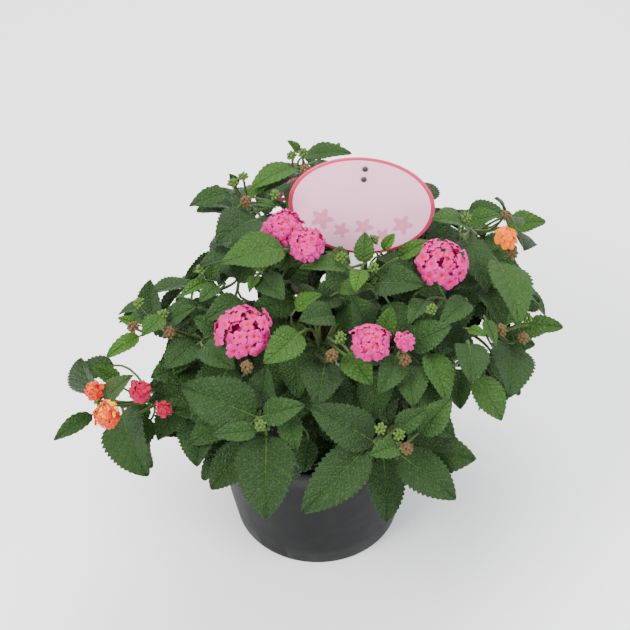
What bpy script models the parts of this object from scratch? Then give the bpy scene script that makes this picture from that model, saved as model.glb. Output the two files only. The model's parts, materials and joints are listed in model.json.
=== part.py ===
"""A lantana in a plastic pot: leafy shoots, flower heads, soil and an oval label on a stake.

Metres, +Z up. The origin is the centre of the pot's base, on the surface it stands on, and the
front of the plant looks along -Y. Leaves and heads are laid out on an ellipsoid of foliage by
their place in the front view, which looks down at 45 degrees.
"""
import math
import random
from dataclasses import dataclass

import bmesh
import bpy
from mathutils import Matrix, Vector
from mathutils.bvhtree import BVHTree

MM = 0.001
GAP = 0.3 * MM

# Pot
BASE_RADIUS = 62.5 * MM
RIM_RADIUS = 84.0 * MM
LIP_RADIUS = 86.5 * MM
POT_HEIGHT = 133.0 * MM
WALL = 1.8 * MM
FLOOR = 2.0 * MM
LIP_DEPTH = 8.0 * MM
POT_SIDES = 32
NOTCH_WIDTH = 21.0 * MM
NOTCH_HEIGHT = 6.0 * MM
NOTCH_REACH = 12.0 * MM
NOTCH_FIRST = -90.0 - 31.7
NOTCHES = 3

# Soil
SOIL_TOP = 122.0 * MM
SOIL_SWELL = 2.2 * MM
SOIL_RINGS = 5
STEM_FOOT = 84.0 * MM
HOLE_EASE = 0.45 * MM

# Mound of foliage, and the front view that its layout is measured in
MOUND_CENTRE = Vector((0.0, 0.0, 203.0 * MM))
MOUND_RADIUS = 176.0 * MM
MOUND_RISE = 100.0 * MM
VIEW_DISTANCE = 1250.0 * MM
VIEW_TILT = math.radians(45.0)
TOWARD = Vector((0.0, -math.cos(VIEW_TILT), math.sin(VIEW_TILT)))
UPWARD = Vector((0.0, math.sin(VIEW_TILT), math.cos(VIEW_TILT)))
ACROSS = Vector((1.0, 0.0, 0.0))

# Leaves and stems
BLADE = 0.8 * MM
FOLD = math.radians(17.0)
BLADE_SPANS = 2
LENGTH_PER_WIDTH = 1.5
PETIOLE = 0.85 * MM
STEM_RADIUS = 2.1 * MM
TWIG_RADIUS = 1.2 * MM
STALK_RADIUS = 0.9 * MM
CLEARANCE = 0.45 * MM
HUB_DEPTH = 0.70
TWIG_REACH = 30.0 * MM
JOIN_SPACING = 3.5 * MM

# Flower heads
FLORET_LOBES = 4
HEAD_SQUASH = 0.62
HEAD_FLOOR = 0.26
FLORET_REACH = 0.53
CORE_SHARE = 0.66
NECK_SPREAD = math.radians(7.0)
BUD_SIZE = 7.0 * MM
SPENT_SIZE = 8.0 * MM

# Tidying of fused bodies: shares of faces kept and weld distances tried in turn
THINNING = (0.7, 0.76, 0.85, 0.95, 1.0)
WELDS = (0.002 * MM, 0.02 * MM, 0.1 * MM, 0.0)
FLAT = math.radians(0.2)

# Label
LABEL_CENTRE = (31.0, 76.0)
LABEL_NEAR = 40.0 * MM
LABEL_LEAN = math.radians(18.0)
LABEL_TILT = math.radians(6.0)
LABEL_WIDTH = 100.0 * MM
LABEL_HEIGHT = 71.0 * MM
LABEL_THICK = 1.2 * MM
LABEL_SIDES = 40
STAKE_WIDTH = 9.0 * MM
STAKE_FOOT = 60.0 * MM


@dataclass(frozen=True)
class Leaf:
    """A leaf by its blade's base and tip in the front view, its width (all mm) and its depth."""
    base: tuple
    tip: tuple
    width: float
    depth: float = 1.0


@dataclass(frozen=True)
class Head:
    """A flower head: its centre in the front view, its diameter (mm), florets and colour."""
    name: str
    centre: tuple
    size: float
    florets: int
    colour: str
    depth: float = 1.0


@dataclass(frozen=True)
class Shoot:
    """A leafy shoot with its leaves, heads, green bud clusters and spent heads."""
    name: str
    leaves: tuple
    heads: tuple = ()
    buds: tuple = ()
    spent: tuple = ()


SHOOTS = (
    Shoot("shoot_crest",
          (Leaf((-9, 111), (24, 113), 16, 0.94), Leaf((-16, 103), (-48, 87), 18),
           Leaf((-18, 100), (-38, 86), 13, 0.88), Leaf((-13, 94), (-20, 72), 13, 0.92),
           Leaf((-13, 114), (-21, 122), 8)),
          buds=((-10, 113), (-18, 111)), spent=((-8, 102),)),
    Shoot("shoot_northwest",
          (Leaf((-43, 67), (-71, 50), 31, 1.04), Leaf((-62, 85), (-90, 76), 15),
           Leaf((-57, 90), (-62, 99), 8), Leaf((-48, 83), (-36, 90), 10),
           Leaf((-43, 78), (-29, 75), 8, 0.94)),
          buds=((-59, 92), (-52, 96), (-30, 84)), spent=((-50, 80),)),
    Shoot("shoot_pink_pair",
          (Leaf((-24, 46), (-68, 36), 28), Leaf((-16, 48), (-31, 24), 20, 0.92),
           Leaf((-40, 26), (-24, 10), 20, 0.94), Leaf((-55, 23), (-40, 52), 20, 0.86),
           Leaf((-43, 27), (-48, 16), 8)),
          heads=(Head("head_pink_pair_left", (-24, 61), 30, 13, "pink", 1.05),
                 Head("head_pink_pair_right", (-7, 49), 27, 12, "pink", 1.09)),
          buds=((-40, 33),)),
    Shoot("shoot_west",
          (Leaf((-70, 20), (-83, 9), 12), Leaf((-78, 24), (-97, 12), 9),
           Leaf((-74, 24), (-72, 43), 14, 0.9)),
          buds=((-81, 32),)),
    Shoot("shoot_west_middle",
          (Leaf((-113, -6), (-117, 25), 23), Leaf((-109, -2), (-123, -15), 14, 1.03),
           Leaf((-105, -6), (-85, 6), 13), Leaf((-99, -8), (-88, -1), 9),
           Leaf((-128, -6), (-140, -2), 7), Leaf((-125, -15), (-148, -30), 12)),
          buds=((-108, 0), (-125, 8)), spent=((-104, -12), (-129, -8))),
    Shoot("shoot_far_west",
          (Leaf((-149, -58), (-166, -30), 35), Leaf((-136, -69), (-119, -113), 38),
           Leaf((-148, -61), (-126, -39), 19), Leaf((-158, -70), (-185, -88), 13),
           Leaf((-94, -63), (-112, -88), 23, 0.95)),
          heads=(Head("head_coral_oval", (-157, -53), 14, 6, "coral", 1.05),
                 Head("head_coral_yellow", (-148, -70), 21, 9, "coral", 1.06),
                 Head("head_crimson", (-125, -53), 16, 7, "crimson", 1.05),
                 Head("head_magenta", (-109, -66), 12, 5, "crimson", 1.04)),
          buds=((-153, -60),)),
    Shoot("shoot_left_centre",
          (Leaf((-83, -36), (-117, -44), 28, 0.97), Leaf((-85, -21), (-107, -38), 22),
           Leaf((-80, -22), (-58, -38), 19), Leaf((-89, -53), (-118, -61), 18, 0.93),
           Leaf((-65, -14), (-87, -2), 16, 0.94), Leaf((-53, 10), (-79, -4), 18, 0.9),
           Leaf((-38, 13), (-65, 0), 15, 0.86)),
          heads=(Head("head_pink_left", (-52, -11), 41, 14, "pink", 1.03),),
          spent=((-50, -36),)),
    Shoot("shoot_front_left",
          (Leaf((-36, -85), (-36, -143), 39, 1.05), Leaf((-44, -71), (-96, -50), 35, 1.03),
           Leaf((-38, -71), (-9, -63), 18, 1.04), Leaf((-43, -81), (-74, -84), 13, 1.05),
           Leaf((-50, -92), (-75, -122), 25, 0.96), Leaf((-74, -73), (-85, -106), 35, 0.94),
           Leaf((-40, -65), (-36, -36), 25, 0.95)),
          buds=((-40, -77),)),
    Shoot("shoot_centre",
          (Leaf((-13, -13), (-38, -34), 22), Leaf((5, -35), (-1, -64), 29, 0.97),
           Leaf((10, -1), (-13, -4), 21, 1.02), Leaf((15, 12), (-11, 2), 19, 0.9),
           Leaf((34, -10), (23, 13), 22, 0.95), Leaf((22, -26), (38, -49), 21),
           Leaf((-20, -36), (-41, -62), 24, 0.88)),
          heads=(Head("head_pink_centre", (37, -19), 29, 12, "pink", 1.04),),
          buds=((16, -16),), spent=((10, -28),)),
    Shoot("shoot_centre_right",
          (Leaf((65, -21), (94, -8), 22), Leaf((62, -36), (67, -64), 25, 0.96),
           Leaf((78, -27), (90, -61), 21, 0.95), Leaf((55, -30), (43, -55), 19, 0.98),
           Leaf((46, -13), (52, 6), 14, 0.92)),
          heads=(Head("head_pink_small", (60, -18), 14, 5, "pink", 1.04),),
          spent=((61, -31),)),
    Shoot("shoot_front_right",
          (Leaf((34, -93), (-11, -139), 31, 1.03), Leaf((58, -98), (97, -129), 28, 1.04),
           Leaf((68, -92), (111, -101), 35), Leaf((46, -99), (48, -145), 27, 0.98),
           Leaf((38, -88), (-6, -64), 28), Leaf((56, -79), (76, -66), 15, 1.04),
           Leaf((55, -91), (36, -98), 14, 1.06), Leaf((71, -82), (94, -58), 20, 0.95)),
          buds=((44, -80), (57, -84)), spent=((62, -93),)),
    Shoot("shoot_label_front",
          (Leaf((41, 22), (74, 21), 25), Leaf((32, 37), (33, 58), 14, 1.03),
           Leaf((30, 31), (26, 16), 13), Leaf((57, 40), (78, 52), 12, 0.92),
           Leaf((46, 46), (54, 57), 8), Leaf((20, 33), (-13, 33), 16, 0.97),
           Leaf((9, 44), (23, 36), 12, 0.93)),
          buds=((17, 40), (39, 33), (39, 52))),
    Shoot("shoot_pink_right",
          (Leaf((76, 10), (64, -6), 15), Leaf((104, 10), (85, -8), 17, 0.95)),
          heads=(Head("head_pink_right", (87, 36), 40, 14, "pink", 1.04),),
          buds=((80, 4),)),
    Shoot("shoot_northeast",
          (Leaf((134, 62), (160, 65), 19), Leaf((104, 62), (80, 67), 20, 0.94),
           Leaf((106, 64), (128, 70), 16), Leaf((104, 52), (118, 16), 24, 0.94),
           Leaf((131, 71), (124, 82), 9)),
          heads=(Head("head_orange", (132, 55), 18, 7, "orange", 1.06),),
          buds=((104, 68),), spent=((132, 70), (136, 44))),
    Shoot("shoot_east_upper",
          (Leaf((126, 37), (141, -7), 31), Leaf((118, 18), (130, -9), 20, 0.94)),
          buds=((143, 4),)),
    Shoot("shoot_east",
          (Leaf((133, -21), (134, -58), 32), Leaf((148, -7), (172, -9), 14),
           Leaf((118, -4), (125, -22), 9, 0.97), Leaf((106, -10), (118, -15), 8)),
          buds=((146, -2),), spent=((144, -16), (128, -10))),
    Shoot("shoot_east_low",
          (Leaf((111, -45), (129, -74), 22), Leaf((106, -21), (107, -48), 24, 0.97),
           Leaf((96, -38), (100, -66), 22, 0.88)),
          buds=((115, -34),)),
)

# Shoots behind the label, by azimuth and height on the mound (degrees)
BACK_SHOOTS = (
    ("shoot_back_east", 20.0, 6.0),
    ("shoot_back_northeast", 50.0, 4.0),
    ("shoot_back_middle", 84.0, 2.0),
    ("shoot_back_northwest", 118.0, 2.0),
    ("shoot_back_west", 150.0, -35.0),
    ("shoot_back_top", 98.0, 34.0),
)
BACK_HEADS = (
    ("head_pink_back_right", "shoot_back_middle", 72.0, -9.0),
    ("head_pink_back_left", "shoot_back_middle", 99.0, -10.0),
)
BACK_HEAD_SIZE = 36.0
BACK_DEPTH = 0.78
BACK_LEAVES = 6
BACK_LEAF_WIDTH = 30.0
BACK_FLORETS = 12
INNER_LEAVES = 2
INNER_LEAF_WIDTH = 27.0
INNER_SHARE = 0.35

# The plant's outline in the front view (mm), clockwise from the top
OUTLINE = (
    (0, 120), (30, 116), (60, 105), (84, 90), (132, 80), (162, 68), (158, 52), (140, 40),
    (148, 24), (166, 2), (170, -12), (154, -22), (154, -36), (144, -54), (132, -72), (112, -84),
    (110, -100), (94, -114), (0, -116), (-76, -118), (-122, -108), (-148, -96), (-182, -80),
    (-177, -45), (-152, -20), (-136, 16), (-92, 28), (-72, 50), (-92, 78), (-66, 98), (-24, 117),
)

COLOURS = {
    "pot": ((0.035, 0.038, 0.042), 0.45),
    "soil": ((0.045, 0.028, 0.018), 0.95),
    "leaf": ((0.075, 0.16, 0.055), 0.55),
    "pink": ((0.78, 0.12, 0.45), 0.6),
    "coral": ((0.80, 0.13, 0.08), 0.6),
    "crimson": ((0.62, 0.02, 0.09), 0.6),
    "orange": ((0.85, 0.28, 0.03), 0.6),
    "label": ((0.80, 0.62, 0.66), 0.4),
    "rivet": ((0.05, 0.04, 0.04), 0.4),
}


def clear_scene():
    """Remove every object."""
    for item in list(bpy.data.objects):
        bpy.data.objects.remove(item)


def material(name):
    """The material of one of the finishes in COLOURS."""
    found = bpy.data.materials.get(name)
    if found:
        return found
    colour, roughness = COLOURS[name]
    made = bpy.data.materials.new(name)
    made.use_nodes = True
    shader = made.node_tree.nodes["Principled BSDF"]
    shader.inputs["Base Color"].default_value = (*colour, 1.0)
    shader.inputs["Roughness"].default_value = roughness
    made.diffuse_color = (*colour, 1.0)
    return made


def add_object(name, bm, finish):
    """Turn a bmesh into a named object with its finish."""
    mesh = bpy.data.meshes.new(name)
    bm.to_mesh(mesh)
    bm.free()
    mesh.materials.append(material(finish))
    made = bpy.data.objects.new(name, mesh)
    bpy.context.scene.collection.objects.link(made)
    return made


def tree_of(bm, grow=0.0):
    """A search tree of a mesh, swollen by grow along its vertex normals."""
    bm.normal_update()
    bm.verts.index_update()
    points = [v.co + v.normal * grow for v in bm.verts]
    faces = [[v.index for v in f.verts] for f in bm.faces]
    return BVHTree.FromPolygons(points, faces)


def on_mound(spot, depth, lift=0.0):
    """The point of the mound, scaled by depth, that lies at a place (mm) of the front view."""
    near = 0.0
    rise = MOUND_RISE
    wide = MOUND_RADIUS
    for _ in range(6):
        shrink = 1.0 - near / VIEW_DISTANCE
        a = spot[0] * MM * shrink
        b = spot[1] * MM * shrink
        square = 0.5 / wide ** 2 + 0.5 / rise ** 2
        linear = b / rise ** 2 - b / wide ** 2
        rest = (a / wide) ** 2 + 0.5 * (b / wide) ** 2 + 0.5 * (b / rise) ** 2 - depth ** 2
        inside = max(0.0, linear ** 2 - 4.0 * square * rest)
        near = (-linear + math.sqrt(inside)) / (2.0 * square) + lift
    return in_view(spot, near)


def in_view(spot, near):
    """The point at a place (mm) of the front view, near metres towards the viewer."""
    shrink = (1.0 - near / VIEW_DISTANCE) * MM
    return MOUND_CENTRE + TOWARD * near + ACROSS * spot[0] * shrink + UPWARD * spot[1] * shrink


def nearness(point):
    """How far a point is towards the viewer from the mound's centre."""
    return (point - MOUND_CENTRE).dot(TOWARD)


def in_outline(point):
    """Whether a point in space lies inside the plant's outline in the front view."""
    shrink = (1.0 - nearness(point) / VIEW_DISTANCE) * MM
    a = point.x / shrink
    b = (point - MOUND_CENTRE).dot(UPWARD) / shrink
    inside = False
    for (x, y), (u, v) in zip(OUTLINE, OUTLINE[1:] + OUTLINE[:1]):
        if (y > b) != (v > b) and a < x + (u - x) * (b - y) / (v - y):
            inside = not inside
    return inside


def outward(point):
    """The mound's outward direction at a point."""
    away = point - MOUND_CENTRE
    steep = (MOUND_RADIUS / MOUND_RISE) ** 2
    return Vector((away.x, away.y, away.z * steep)).normalized()


def bezier(points, t):
    """A point of a Bezier curve of any degree."""
    row = list(points)
    while len(row) > 1:
        row = [a.lerp(b, t) for a, b in zip(row, row[1:])]
    return row[0]


def tube(bm, path, radii, sides):
    """A closed tube along a path, with a radius at each of its points."""
    rings = []
    side = None
    for i, point in enumerate(path):
        ahead = path[min(i + 1, len(path) - 1)] - path[max(i - 1, 0)]
        ahead.normalize()
        if side is None:
            side = ahead.orthogonal().normalized()
        side = (side - ahead * side.dot(ahead)).normalized()
        other = ahead.cross(side)
        ring = []
        for k in range(sides):
            angle = 2.0 * math.pi * k / sides
            offset = side * math.cos(angle) + other * math.sin(angle)
            ring.append(bm.verts.new(point + offset * radii[i]))
        rings.append(ring)
    for low, high in zip(rings, rings[1:]):
        for k in range(sides):
            j = (k + 1) % sides
            bm.faces.new((low[k], low[j], high[j], high[k]))
    bm.faces.new(list(reversed(rings[0])))
    bm.faces.new(rings[-1])


def half_width(t):
    """Half the width of an egg-shaped blade, as a share of the full width."""
    return 0.5 * math.sin(math.pi * t ** 0.68) ** 0.75


def margin_points(teeth):
    """Places (t, share) along one toothed edge, from the blade's base to the last tooth."""
    points = [(0.0, 0.0)]
    for k in range(teeth):
        peak = (k + 0.66) / teeth
        points.append((peak, half_width(peak) * 1.06))
        if k < teeth - 1:
            notch = (k + 1.0) / teeth
            points.append((notch, half_width(notch) * 0.90))
    return points


@dataclass
class Placed:
    """A leaf in space: where its stalk starts, its blade and how the blade faces."""
    root: Vector
    base: Vector
    tip: Vector
    normal: Vector
    width: float
    teeth: int

    def blade_frame(self, t):
        """Point, side and face directions of the midrib at t."""
        span = self.tip - self.base
        face = (self.normal - span * self.normal.dot(span) / span.length_squared).normalized()
        crest = self.base.lerp(self.tip, 0.5) + face * span.length * 0.16
        point = bezier((self.base, crest, self.tip), t)
        along = (crest - self.base).lerp(self.tip - crest, t).normalized()
        side = along.cross(face).normalized()
        return point, side, side.cross(along).normalized()

    def shows_inside(self):
        """Whether the blade lies inside the plant's outline in the front view."""
        point, side, _ = self.blade_frame(0.45)
        reach = side * 0.45 * self.width
        return all(in_outline(spot) for spot in (self.tip, point - reach, point + reach))


def leaf_mesh(placed, stalk=True):
    """One closed leaf: a stalk that widens into a folded, arched blade with a toothed edge."""
    bm = bmesh.new()
    margin = margin_points(placed.teeth)
    half = 0.5 * BLADE

    def pair(point, face):
        """The upper and lower vertex at a point of the blade."""
        return bm.verts.new(point + face * half), bm.verts.new(point - face * half)

    midrib = []
    for k in range(BLADE_SPANS + 1):
        t = k / BLADE_SPANS
        point, side, face = placed.blade_frame(t)
        midrib.append((t, pair(point, face)))
    edges = []
    for sign in (-1.0, 1.0):
        edge = []
        for t, share in margin:
            point, side, face = placed.blade_frame(t)
            reach = max(share * placed.width, PETIOLE)
            slope = side * sign * math.cos(FOLD) + face * math.sin(FOLD)
            edge.append((t, pair(point + slope * reach, face)))
        edge.append(midrib[-1])
        edges.append(edge)
    for sign, edge in zip((-1.0, 1.0), edges):
        flip = sign > 0.0
        i = 0
        j = 0
        while i < len(midrib) - 1 or j < len(edge) - 1:
            step_edge = i == len(midrib) - 1 or (
                j < len(edge) - 1 and edge[j + 1][0] <= midrib[i + 1][0])
            if step_edge:
                trio = (midrib[i][1], edge[j][1], edge[j + 1][1])
                j += 1
            else:
                trio = (midrib[i][1], edge[j][1], midrib[i + 1][1])
                i += 1
            if trio[1] is trio[2] or trio[0] is trio[2]:
                continue
            top = [p[0] for p in trio]
            low = [p[1] for p in trio]
            bm.faces.new(top if flip else reversed(top))
            bm.faces.new(reversed(low) if flip else low)
        for (_, a), (_, b) in zip(edge, edge[1:]):
            wall = (a[0], a[1], b[1], b[0])
            bm.faces.new(wall if flip else reversed(wall))
    left, middle, right = edges[0][0][1], midrib[0][1], edges[1][0][1]
    start = (left[0], middle[0], right[0], right[1], middle[1], left[1])
    if not stalk:
        bm.faces.new(start)
        bm.normal_update()
        return bm
    point, side, face = placed.blade_frame(0.0)
    ahead = (placed.base - placed.root).normalized()
    side = (side - ahead * side.dot(ahead)).normalized()
    up = side.cross(ahead).normalized()
    foot = []
    for across, lift in ((-1.0, 0.6), (1.0, 0.6), (0.0, -1.1)):
        foot.append(bm.verts.new(placed.root + side * across * PETIOLE + up * lift * PETIOLE))
    bm.faces.new(foot)
    bm.faces.new((foot[1], foot[0], left[0], middle[0], right[0]))
    bm.faces.new((foot[2], right[1], middle[1], left[1]))
    bm.faces.new((foot[2], foot[1], right[0], right[1]))
    bm.faces.new((foot[0], foot[2], left[1], left[0]))
    bmesh.ops.recalc_face_normals(bm, faces=bm.faces)
    return bm


def head_frame(centre):
    """The way a flower head or bud cluster faces at a point of the mound."""
    return (outward(centre) * 0.5 + TOWARD * 0.35 + Vector((0.0, 0.0, 0.35))).normalized()


def turn_to(direction, centre):
    """A matrix that carries +Z to a direction and the origin to a centre."""
    return Matrix.Translation(centre) @ direction.to_track_quat("Z", "Y").to_matrix().to_4x4()


def floret_ways(florets):
    """Polar and turning angles of a head's florets: one on top and rings round it."""
    outer = round(0.57 * florets) if florets > 8 else florets - 1
    middle = florets - 1 - outer
    yield 0.0, 0.0
    for k in range(middle):
        yield math.radians(37.0), 2.0 * math.pi * k / middle
    for k in range(outer):
        yield math.radians(76.0 if middle else 58.0), 2.0 * math.pi * (k + 0.5) / outer


def head_mesh(size, florets, place):
    """A flower head in one closed body: a small dome whose florets flare to lobed mouths."""
    bm = bmesh.new()
    radius = 0.5 * size
    squash = Vector((1.0, 1.0, HEAD_SQUASH))
    ways = []
    for polar, turn in floret_ways(florets):
        ways.append(Vector((math.sin(polar) * math.cos(turn), math.sin(polar) * math.sin(turn),
                            math.cos(polar))))
    mouths = [way * squash * radius * 0.93 for way in ways]
    spacing = min((a - b).length for i, a in enumerate(mouths) for b in mouths[:i])
    reach = FLORET_REACH * spacing
    drop = Vector((0.0, 0.0, -0.13 * size))
    necks = []
    for way in ways:
        quat = way.to_track_quat("Z", "Y")
        neck = []
        for k in range(FLORET_LOBES):
            angle = 2.0 * math.pi * k / FLORET_LOBES
            tilt = Vector((math.cos(angle), math.sin(angle), 0.0)) * math.sin(NECK_SPREAD)
            on_ball = quat @ (tilt + Vector((0.0, 0.0, math.cos(NECK_SPREAD))))
            neck.append(bm.verts.new(on_ball * squash * radius * CORE_SHARE + drop))
        necks.append(neck)
    for k in range(5):
        angle = 0.4 * math.pi * k
        bm.verts.new(Vector((0.45 * math.cos(angle), 0.45 * math.sin(angle), 0.0)) * 0.3 * size
                     + Vector((0.0, 0.0, -HEAD_FLOOR * size)))
    bmesh.ops.convex_hull(bm, input=bm.verts, use_existing_faces=False)
    for neck in necks:
        inside = [f for f in bm.faces if all(v in neck for v in f.verts)]
        bmesh.ops.delete(bm, geom=inside, context="FACES_ONLY")
    for edge in [e for e in bm.edges if not e.link_faces]:
        bm.edges.remove(edge)
    for way, mouth, neck in zip(ways, mouths, necks):
        facing = Vector((way.x, way.y, way.z / HEAD_SQUASH)).normalized()
        side = (neck[0].co - neck[2].co).normalized()
        side = (side - facing * side.dot(facing)).normalized()
        other = facing.cross(side)
        ring = []
        for k in range(2 * FLORET_LOBES):
            angle = math.pi * k / FLORET_LOBES
            share, lift = (1.0, 0.05) if k % 2 == 0 else (0.70, -0.06)
            ring.append(bm.verts.new(mouth + (side * math.cos(angle) + other * math.sin(angle))
                                     * reach * share + facing * lift * reach))
        throat = bm.verts.new(mouth - facing * 0.22 * reach)
        for k in range(FLORET_LOBES):
            low = neck[k]
            after = neck[(k + 1) % FLORET_LOBES]
            tip, notch, following = ring[2 * k], ring[2 * k + 1], ring[(2 * k + 2) % len(ring)]
            bm.faces.new((low, tip, notch))
            bm.faces.new((low, notch, after))
            bm.faces.new((after, notch, following))
            bm.faces.new((tip, throat, notch))
            bm.faces.new((notch, throat, following))
    bmesh.ops.recalc_face_normals(bm, faces=bm.faces)
    bm.transform(place)
    return bm


def bud_mesh(path, radius, size):
    """A stalk that ends in a cluster of pointed buds, in one closed body."""
    bm = bmesh.new()
    ahead = (path[-1] - path[-2]).normalized()
    end = path[-1]
    route = list(path[:-1]) + [end - ahead * 0.45 * size, end, end + ahead * 0.42 * size]
    tube(bm, route, [radius * 1.2] + [radius] * (len(path) - 2)
         + [radius, 0.46 * size, 0.26 * size], 5)
    bm.faces.ensure_lookup_table()
    crown = [f for f in bm.faces if (f.calc_center_median() - end).dot(ahead) > 0.0]
    poked = bmesh.ops.poke(bm, faces=crown)
    for vert in poked["verts"]:
        vert.co += (vert.co - end).normalized() * 0.36 * size
    bm.normal_update()
    return bm


def fuse(name, parts, finish):
    """Join overlapping closed solids into one body and drop loose scraps."""
    for bm in parts:
        bmesh.ops.triangulate(bm, faces=bm.faces)
    if len(parts) == 1:
        return add_object(name, parts[0], finish)
    store = bpy.data.collections.new(name + "_parts")
    first = add_object(name, parts[0], finish)
    for k, bm in enumerate(parts[1:]):
        extra = add_object(f"{name}_part_{k}", bm, finish)
        bpy.context.scene.collection.objects.unlink(extra)
        store.objects.link(extra)
    union = first.modifiers.new("join", "BOOLEAN")
    union.operation = "UNION"
    union.operand_type = "COLLECTION"
    union.collection = store
    union.solver = "MANIFOLD"
    graph = bpy.context.evaluated_depsgraph_get()
    graph.update()
    joined = bpy.data.meshes.new_from_object(first.evaluated_get(graph))
    first.modifiers.remove(union)
    for extra in list(store.objects):
        bpy.data.objects.remove(extra)
    bpy.data.collections.remove(store)
    for share in THINNING:
        for weld in WELDS:
            first.data = joined.copy()
            keep_largest(first.data, weld)
            thin(first, share)
            if sound(first.data):
                return first
    raise RuntimeError(f"{name} is not one sound body")


def keep_largest(mesh, weld):
    """Weld a joined mesh, merge its flat faces and leave only its largest body."""
    bm = bmesh.new()
    bm.from_mesh(mesh)
    bmesh.ops.dissolve_limit(bm, angle_limit=FLAT, verts=bm.verts, edges=bm.edges)
    bmesh.ops.triangulate(bm, faces=bm.faces)
    if weld:
        bmesh.ops.remove_doubles(bm, verts=bm.verts, dist=weld)
        bmesh.ops.dissolve_degenerate(bm, dist=0.5 * weld, edges=bm.edges)
    seen = set()
    bodies = []
    for start in bm.verts:
        if start in seen:
            continue
        body = []
        heap = [start]
        seen.add(start)
        while heap:
            vert = heap.pop()
            body.append(vert)
            for edge in vert.link_edges:
                other = edge.other_vert(vert)
                if other not in seen:
                    seen.add(other)
                    heap.append(other)
        bodies.append(body)
    bodies.sort(key=len, reverse=True)
    scraps = [v for body in bodies[1:] for v in body]
    bmesh.ops.delete(bm, geom=scraps, context="VERTS")
    bm.to_mesh(mesh)
    bm.free()


def thin(item, share):
    """Collapse the flattest faces of an object until a share of them is left."""
    fewer = item.modifiers.new("thin", "DECIMATE")
    fewer.ratio = share
    fewer.use_collapse_triangulate = True
    graph = bpy.context.evaluated_depsgraph_get()
    graph.update()
    result = bpy.data.meshes.new_from_object(item.evaluated_get(graph))
    item.modifiers.remove(fewer)
    item.data = result


def sound(mesh):
    """Whether a mesh is one closed skin that nowhere crosses itself."""
    bm = bmesh.new()
    bm.from_mesh(mesh)
    fine = sound_skin(bm)
    bm.free()
    return fine


def sound_skin(bm):
    """Whether a bmesh is closed and nowhere crosses itself. Its faces are split to triangles."""
    bmesh.ops.triangulate(bm, faces=bm.faces)
    bm.verts.index_update()
    bm.faces.index_update()
    bm.faces.ensure_lookup_table()
    fine = all(edge.is_manifold for edge in bm.edges)
    tree = BVHTree.FromBMesh(bm)
    for a, b in tree.overlap(tree):
        if a < b and not set(bm.faces[a].verts) & set(bm.faces[b].verts):
            return False
    return fine


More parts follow.
